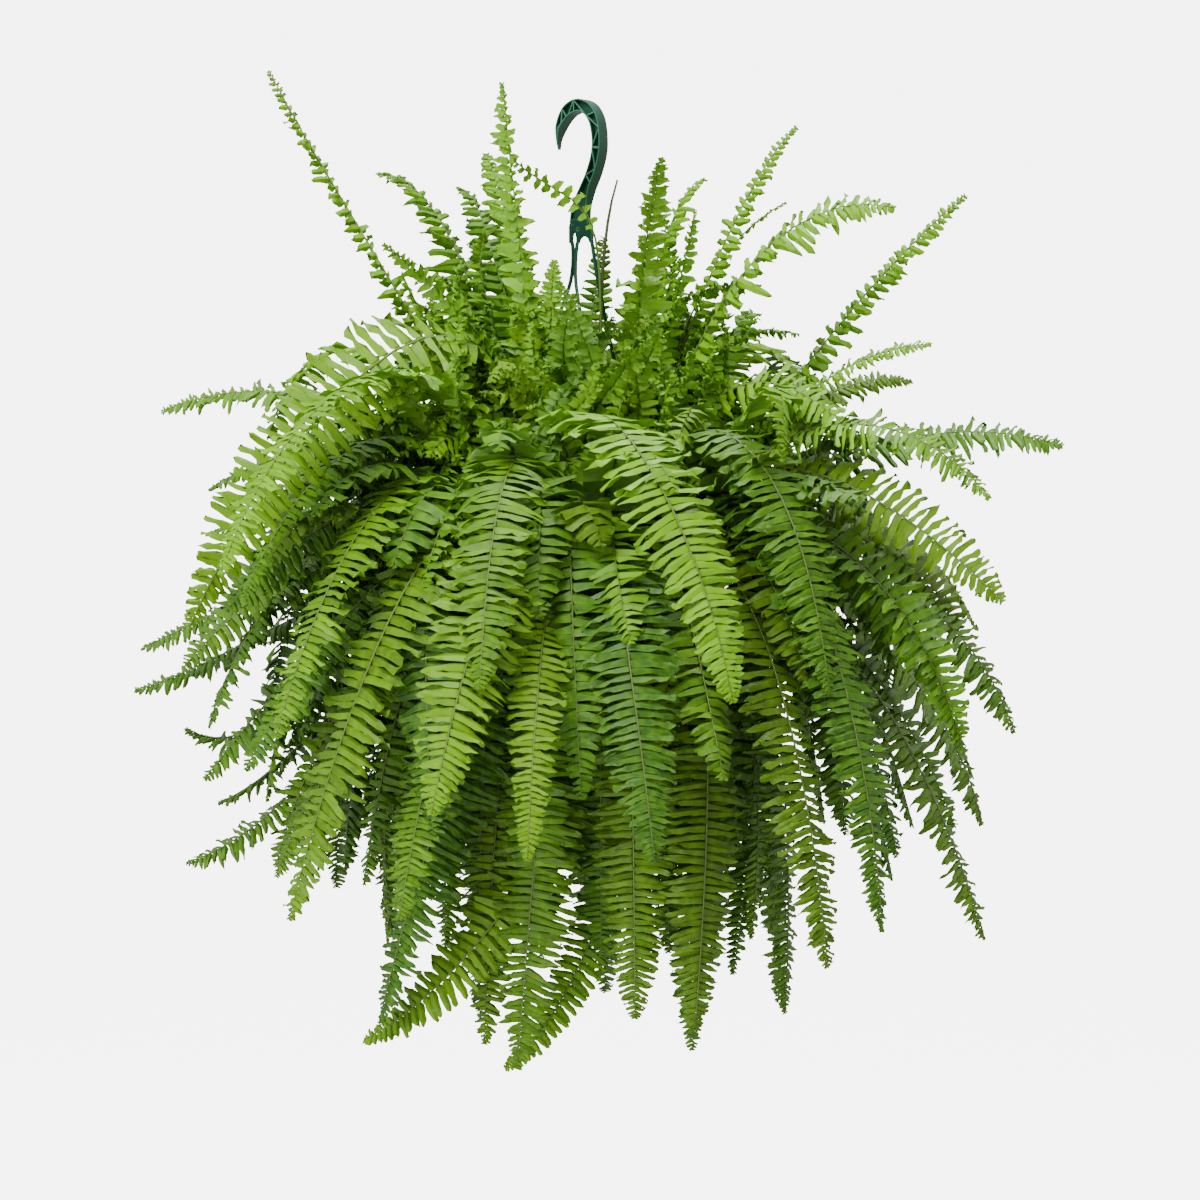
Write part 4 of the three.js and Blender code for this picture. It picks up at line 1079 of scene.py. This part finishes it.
def soil_material(settings):
    """Soil: dark peat with paler bark, fibres and a few light grains."""
    material = bpy.data.materials.new("peat mix")
    n = Nodes(material)
    where = n.place()
    crumbs = n.noise(where, 260.0, 5.0)
    bark = n.noise(where, 70.0, 3.0)
    grains = n.add("ShaderNodeTexVoronoi", {"Vector": where, "Scale": 160.0}).outputs["Distance"]
    base = n.coats(
        settings.peat,
        (n.step(crumbs, 0.35, 0.7), settings.bark),
        (n.step(bark, 0.6, 0.75, 0.0, 0.6), settings.fibre),
        (n.step(grains, 0.06, 0.12, 0.8, 0.0), settings.grain))
    height = n.math("ADD", crumbs, bark)
    n.put(n.shader, {"Base Color": base, "Roughness": 0.92, "Normal": n.bump(height, 0.9, 1.5 * MM)})
    return material


# Settings
def tint(name, description, default):
    """A colour property with its name, description and default."""
    return FloatVectorProperty(name=name, description=description, default=default, size=3, min=0, max=1,
                               subtype="COLOR")


class FrondSettings(bpy.types.PropertyGroup):
    """Colours and draws of the fronds."""

    young: tint("Young", "Leaflets of a fresh frond", (0.225, 0.51, 0.001))
    grown: tint("Grown", "Leaflets of a grown frond", (0.068, 0.192, 0.004))
    old: tint("Old", "Leaflets of an old frond", (0.086, 0.165, 0.024))
    cool: tint("Cool", "What the coolest fronds lean to", (0.022, 0.105, 0.014))
    warm: tint("Warm", "What the warmest fronds lean to", (0.125, 0.20, 0.003))
    margin: tint("Margin", "The thin edge of a leaflet", (0.15, 0.36, 0.012))
    rib: tint("Midrib", "The line along a leaflet's middle", (0.035, 0.09, 0.006))
    under: tint("Under side", "The dull under side of a leaflet", (0.11, 0.22, 0.05))
    dry: tint("Dry", "Dry tips and scales", (0.16, 0.09, 0.035))
    stalk: tint("Stalk", "A stalk near its tip", (0.1, 0.18, 0.016))
    stalk_foot: tint("Stalk foot", "A stalk near the soil", (0.055, 0.065, 0.012))
    translucency: FloatProperty(
        name="Translucency", description="Share of light that passes through a leaflet",
        default=0.24, min=0, max=1, subtype="FACTOR")
    seed: IntProperty(name="Seed", description="Start of the draws that vary the leaflets", default=7)


class BasketSettings(bpy.types.PropertyGroup):
    """Colours of the pot, the hanger and the soil."""

    plastic: tint("Plastic", "Dark green of the hanger", (0.004, 0.045, 0.024))
    # The paler colour of wear and of the painted highlight on the hanger's edges
    plastic_edge: tint("Plastic edge", "Worn and lit edges of the hanger", (0.06, 0.22, 0.13))
    pot: tint("Pot", "Dark green of the pot", (0.012, 0.06, 0.032))
    peat: tint("Peat", "Dark crumbs", (0.018, 0.011, 0.007))
    bark: tint("Bark", "Brown crumbs", (0.06, 0.034, 0.018))
    fibre: tint("Fibre", "Pale fibres", (0.13, 0.08, 0.04))
    grain: tint("Grain", "Light grains", (0.55, 0.52, 0.46))


class StageSettings(bpy.types.PropertyGroup):
    """The floor, the light and the camera."""

    floor_drop: FloatProperty(
        name="Floor", description="Height of the basket's lowest tip above the floor",
        default=0.55, min=0, unit="LENGTH")
    pale: tint("Floor colour", "Plain pale floor", (0.86, 0.86, 0.85))
    glow: FloatProperty(
        name="Glow", description="How much the floor shines by itself", default=6.0, min=0)
    sky: FloatProperty(
        name="Sky", description="Strength of the soft light from above", default=1.0, min=0)
    low_sky: FloatProperty(
        name="Low sky", description="Strength of the soft light from below", default=0.75, min=0)
    distance: FloatProperty(
        name="Distance", description="From the camera to the basket", default=2.4, min=0.5, unit="LENGTH")
    elevation: FloatProperty(
        name="Elevation", description="How far the camera looks down",
        default=math.radians(4.0), subtype="ANGLE", unit="ROTATION")


# The floor, in metres: its middle's and its whole radius, the bend up into its wall and the wall's
# height
STUDIO_MIDDLE = 1.0
STUDIO_RADIUS = 5.0
STUDIO_BEND = 1.6
STUDIO_HEIGHT = 5.0
STUDIO_SIDES = 96
BEND_RINGS = 17
# The rise of a direction at which the sky has its low and its full strength
SKY_FROM = -0.6
SKY_TO = 0.8
# Each lamp: its name, its place from the basket's middle, its size and its power
LAMPS = (
    ("key", (-1.0, -1.5, 1.7), 1.1, 70),
    ("fill", (-1.2, -1.9, -0.6), 1.6, 22),
    ("top", (0.3, 0.5, 2.0), 1.0, 50),
)
CAMERA_LENS = 90
CAMERA_SENSOR = 36
CAMERA_TARGET = (0.015, 0, -0.387)


def studio_floor(settings, lowest):
    """A round pale floor under the basket that bends up by a quarter circle into a wall. It shines
    by itself and is seen by the camera alone."""
    material = bpy.data.materials.new("pale floor")
    n = Nodes(material)
    pale = colour(settings.pale)
    n.put(n.shader, {"Base Color": pale, "Roughness": 0.9, "Emission Color": pale,
                     "Emission Strength": settings.glow})
    bend = np.linspace(0, math.pi / 2, BEND_RINGS)
    flat = STUDIO_RADIUS - STUDIO_BEND
    radius = np.concatenate([[STUDIO_MIDDLE], flat + STUDIO_BEND * np.sin(bend), [STUDIO_RADIUS]])
    height = np.concatenate([[0], STUDIO_BEND * (1 - np.cos(bend)), [STUDIO_HEIGHT]])
    height = height + lowest - settings.floor_drop
    turn = circle(STUDIO_SIDES)
    ring = np.stack([np.cos(turn), np.sin(turn)], -1)
    level = np.broadcast_to(height[:, None, None], (len(radius), STUDIO_SIDES, 1))
    points = np.concatenate([radius[:, None, None] * ring, level], -1)
    j, k = np.meshgrid(np.arange(len(radius) - 1), np.arange(STUDIO_SIDES), indexing="ij")
    after = (k + 1) % STUDIO_SIDES
    corners = ((j, k), (j + 1, k), (j + 1, after), (j, after))
    faces = np.stack([a * STUDIO_SIDES + b for a, b in corners], -1).reshape(-1, 4)
    mesh = bpy.data.meshes.new("floor")
    mesh.from_pydata(points.reshape(-1, 3).tolist(), [], faces.tolist() + [list(range(STUDIO_SIDES))])
    mesh.polygons.foreach_set("use_smooth", np.ones(len(mesh.polygons), bool))
    mesh.materials.append(material)
    floor = new_object("floor", mesh)
    floor.visible_diffuse = False
    floor.visible_glossy = False
    floor.visible_shadow = False
    floor.visible_transmission = False


def studio_sky(settings):
    """Soft white light from all round, stronger from above."""
    world = bpy.data.worlds.new("studio")
    n = Nodes(world, "Background")
    towards = n.add("ShaderNodeTexCoord").outputs["Generated"]
    rise = n.add("ShaderNodeSeparateXYZ", {"Vector": towards}).outputs["Z"]
    strength = n.add("ShaderNodeMapRange", {
        "Value": rise, "From Min": SKY_FROM, "From Max": SKY_TO,
        "To Min": settings.low_sky, "To Max": settings.sky}).outputs["Result"]
    n.put(n.shader, {"Color": (1, 1, 1, 1), "Strength": strength})
    return world


def studio_lamp(centre, name, place, size, power):
    """A square lamp that points at the basket's middle."""
    light = bpy.data.lights.new(name, "AREA")
    light.size = size
    light.energy = power
    lamp = new_object(name, light)
    lamp.location = centre + Vector(place)
    lamp.rotation_euler = (-Vector(place)).to_track_quat("-Z", "Y").to_euler()


def studio_camera(settings):
    """A camera with a long lens in front of the basket, which looks a little down at it."""
    data = bpy.data.cameras.new("camera")
    data.lens = CAMERA_LENS
    data.sensor_width = CAMERA_SENSOR
    data.dof.use_dof = False
    camera = new_object("camera", data)
    back = Vector((0, -math.cos(settings.elevation), math.sin(settings.elevation)))
    camera.location = Vector(CAMERA_TARGET) + back * settings.distance
    camera.rotation_euler = (-back).to_track_quat("-Z", "Y").to_euler()
    return camera


# Operators
class FERN_OT_fronds(bpy.types.Operator):
    """Replaces each frond node by a fine frond along the same arch"""

    bl_idname = "fern.fronds"
    bl_label = "Fronds"

    def execute(self, context):
        settings = context.scene.fern_fronds
        materials = [stalk_material(settings), leaflet_material(settings)]
        rng = np.random.default_rng(settings.seed)
        groups = {}
        grown = FRONDS + back_fronds()
        for frond in grown + [frond for added in ADDED for frond in added_fronds(added, grown)]:
            groups.setdefault(frond.node, []).append(frond)
        for node, fronds in groups.items():
            hidden = "back" in node
            sides = HIDDEN_SIDES if hidden else STALK_SIDES
            parts = []
            for frond in fronds:
                spacing, wild = leaflet_habit(frond)
                rings = leaflet_rings(frond)
                parts.append(frond_arrays(frond, rng, rings, sides, spacing=spacing, wild=wild))
            new_piece(f"fine_{node}", join(parts), materials, node)
        return {"FINISHED"}


class FERN_OT_layers(bpy.types.Operator):
    """Adds the short, the young and the hidden fronds that fill the crown and its skirt"""

    bl_idname = "fern.layers"
    bl_label = "Filling fronds"

    def execute(self, context):
        settings = context.scene.fern_fronds
        materials = [stalk_material(settings), leaflet_material(settings)]
        rng = np.random.default_rng(settings.seed + 1)
        for layer in LAYERS:
            fronds = layer_fronds(layer, rng)
            for k in range(LAYER_PIECES):
                parts = [frond_arrays(frond, rng, layer.rings, HIDDEN_SIDES, layer.stipe * MM,
                                      layer.spacing * MM, layer.wild)
                         for frond in fronds[k::LAYER_PIECES]]
                new_piece(f"{layer.name}_fronds_{k + 1}", join(parts), materials)
        parts = []
        for frond in SINGLES:
            rings = SINGLE_RINGS[frond.age > HIDDEN_AGE]
            parts.append(frond_arrays(frond, rng, rings, STALK_SIDES, frond.stipe * MM,
                                      frond.spacing * MM, frond.wild, frond.stout))
        new_piece("single_fronds", join(parts), materials)
        return {"FINISHED"}


class FERN_OT_basket(bpy.types.Operator):
    """Gives the pot, the soil and the hanger their finishes"""

    bl_idname = "fern.basket"
    bl_label = "Basket"

    def execute(self, context):
        settings = context.scene.fern_basket
        # The paler colour: wear and a painted highlight on the hanger's marked edges, and faint clouds on
        # the pot and hanger
        edge = settings.plastic_edge
        finishes = {
            "pot": plastic_material("pot plastic", settings.pot, edge, 0.4),
            "soil": soil_material(settings),
        }
        for node, finish in finishes.items():
            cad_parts[node].material_slots[0].material = finish
        rings = Rings()
        hook_rings(rings)
        hub_rings(rings)
        c, s = math.cos(HOOK_TURN), math.sin(HOOK_TURN)
        turn = np.array([[c, s, 0], [-s, c, 0], [0, 0, 1]])
        rings.points = [part @ turn for part in rings.points]
        for leg in LEGS:
            leg_rings(rings, *leg)
        plastic = plastic_material("hanger plastic", settings.plastic, edge, 0.32)
        rings.piece("fine_hanger", plastic, "hanger", "hanger")
        return {"FINISHED"}


class FERN_OT_stage(bpy.types.Operator):
    """Makes the floor, the soft lights and the camera"""

    bl_idname = "fern.stage"
    bl_label = "Stage"

    def execute(self, context):
        settings = context.scene.fern_stage
        low, high = CAD_BOX
        studio_floor(settings, low.z)
        context.scene.world = studio_sky(settings)
        for lamp in LAMPS:
            studio_lamp((low + high) / 2, *lamp)
        context.scene.camera = studio_camera(settings)
        return {"FINISHED"}


class FERN_PT_panel(bpy.types.Panel):
    """Lists the pieces of the fern and its stage"""

    bl_idname = "FERN_PT_panel"
    bl_label = "Fern"
    bl_space_type = "VIEW_3D"
    bl_region_type = "UI"
    bl_category = "Fern"

    def draw(self, context):
        for operator in OPERATORS:
            self.layout.operator(operator.bl_idname)


OPERATORS = (FERN_OT_basket, FERN_OT_fronds, FERN_OT_layers, FERN_OT_stage)
CLASSES = (FrondSettings, BasketSettings, StageSettings, *OPERATORS, FERN_PT_panel)


def register():
    """Makes the classes and the scene's settings known."""
    for item in CLASSES:
        bpy.utils.register_class(item)
    bpy.types.Scene.fern_fronds = PointerProperty(type=FrondSettings)
    bpy.types.Scene.fern_basket = PointerProperty(type=BasketSettings)
    bpy.types.Scene.fern_stage = PointerProperty(type=StageSettings)


def unregister():
    """Removes the scene's settings and the classes."""
    del bpy.types.Scene.fern_stage
    del bpy.types.Scene.fern_basket
    del bpy.types.Scene.fern_fronds
    for item in reversed(CLASSES):
        bpy.utils.unregister_class(item)


def main():
    """Registers the add-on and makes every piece."""
    register()
    bpy.ops.fern.basket()
    bpy.ops.fern.fronds()
    bpy.ops.fern.layers()
    bpy.ops.fern.stage()


if __name__ == "__main__":
    main()
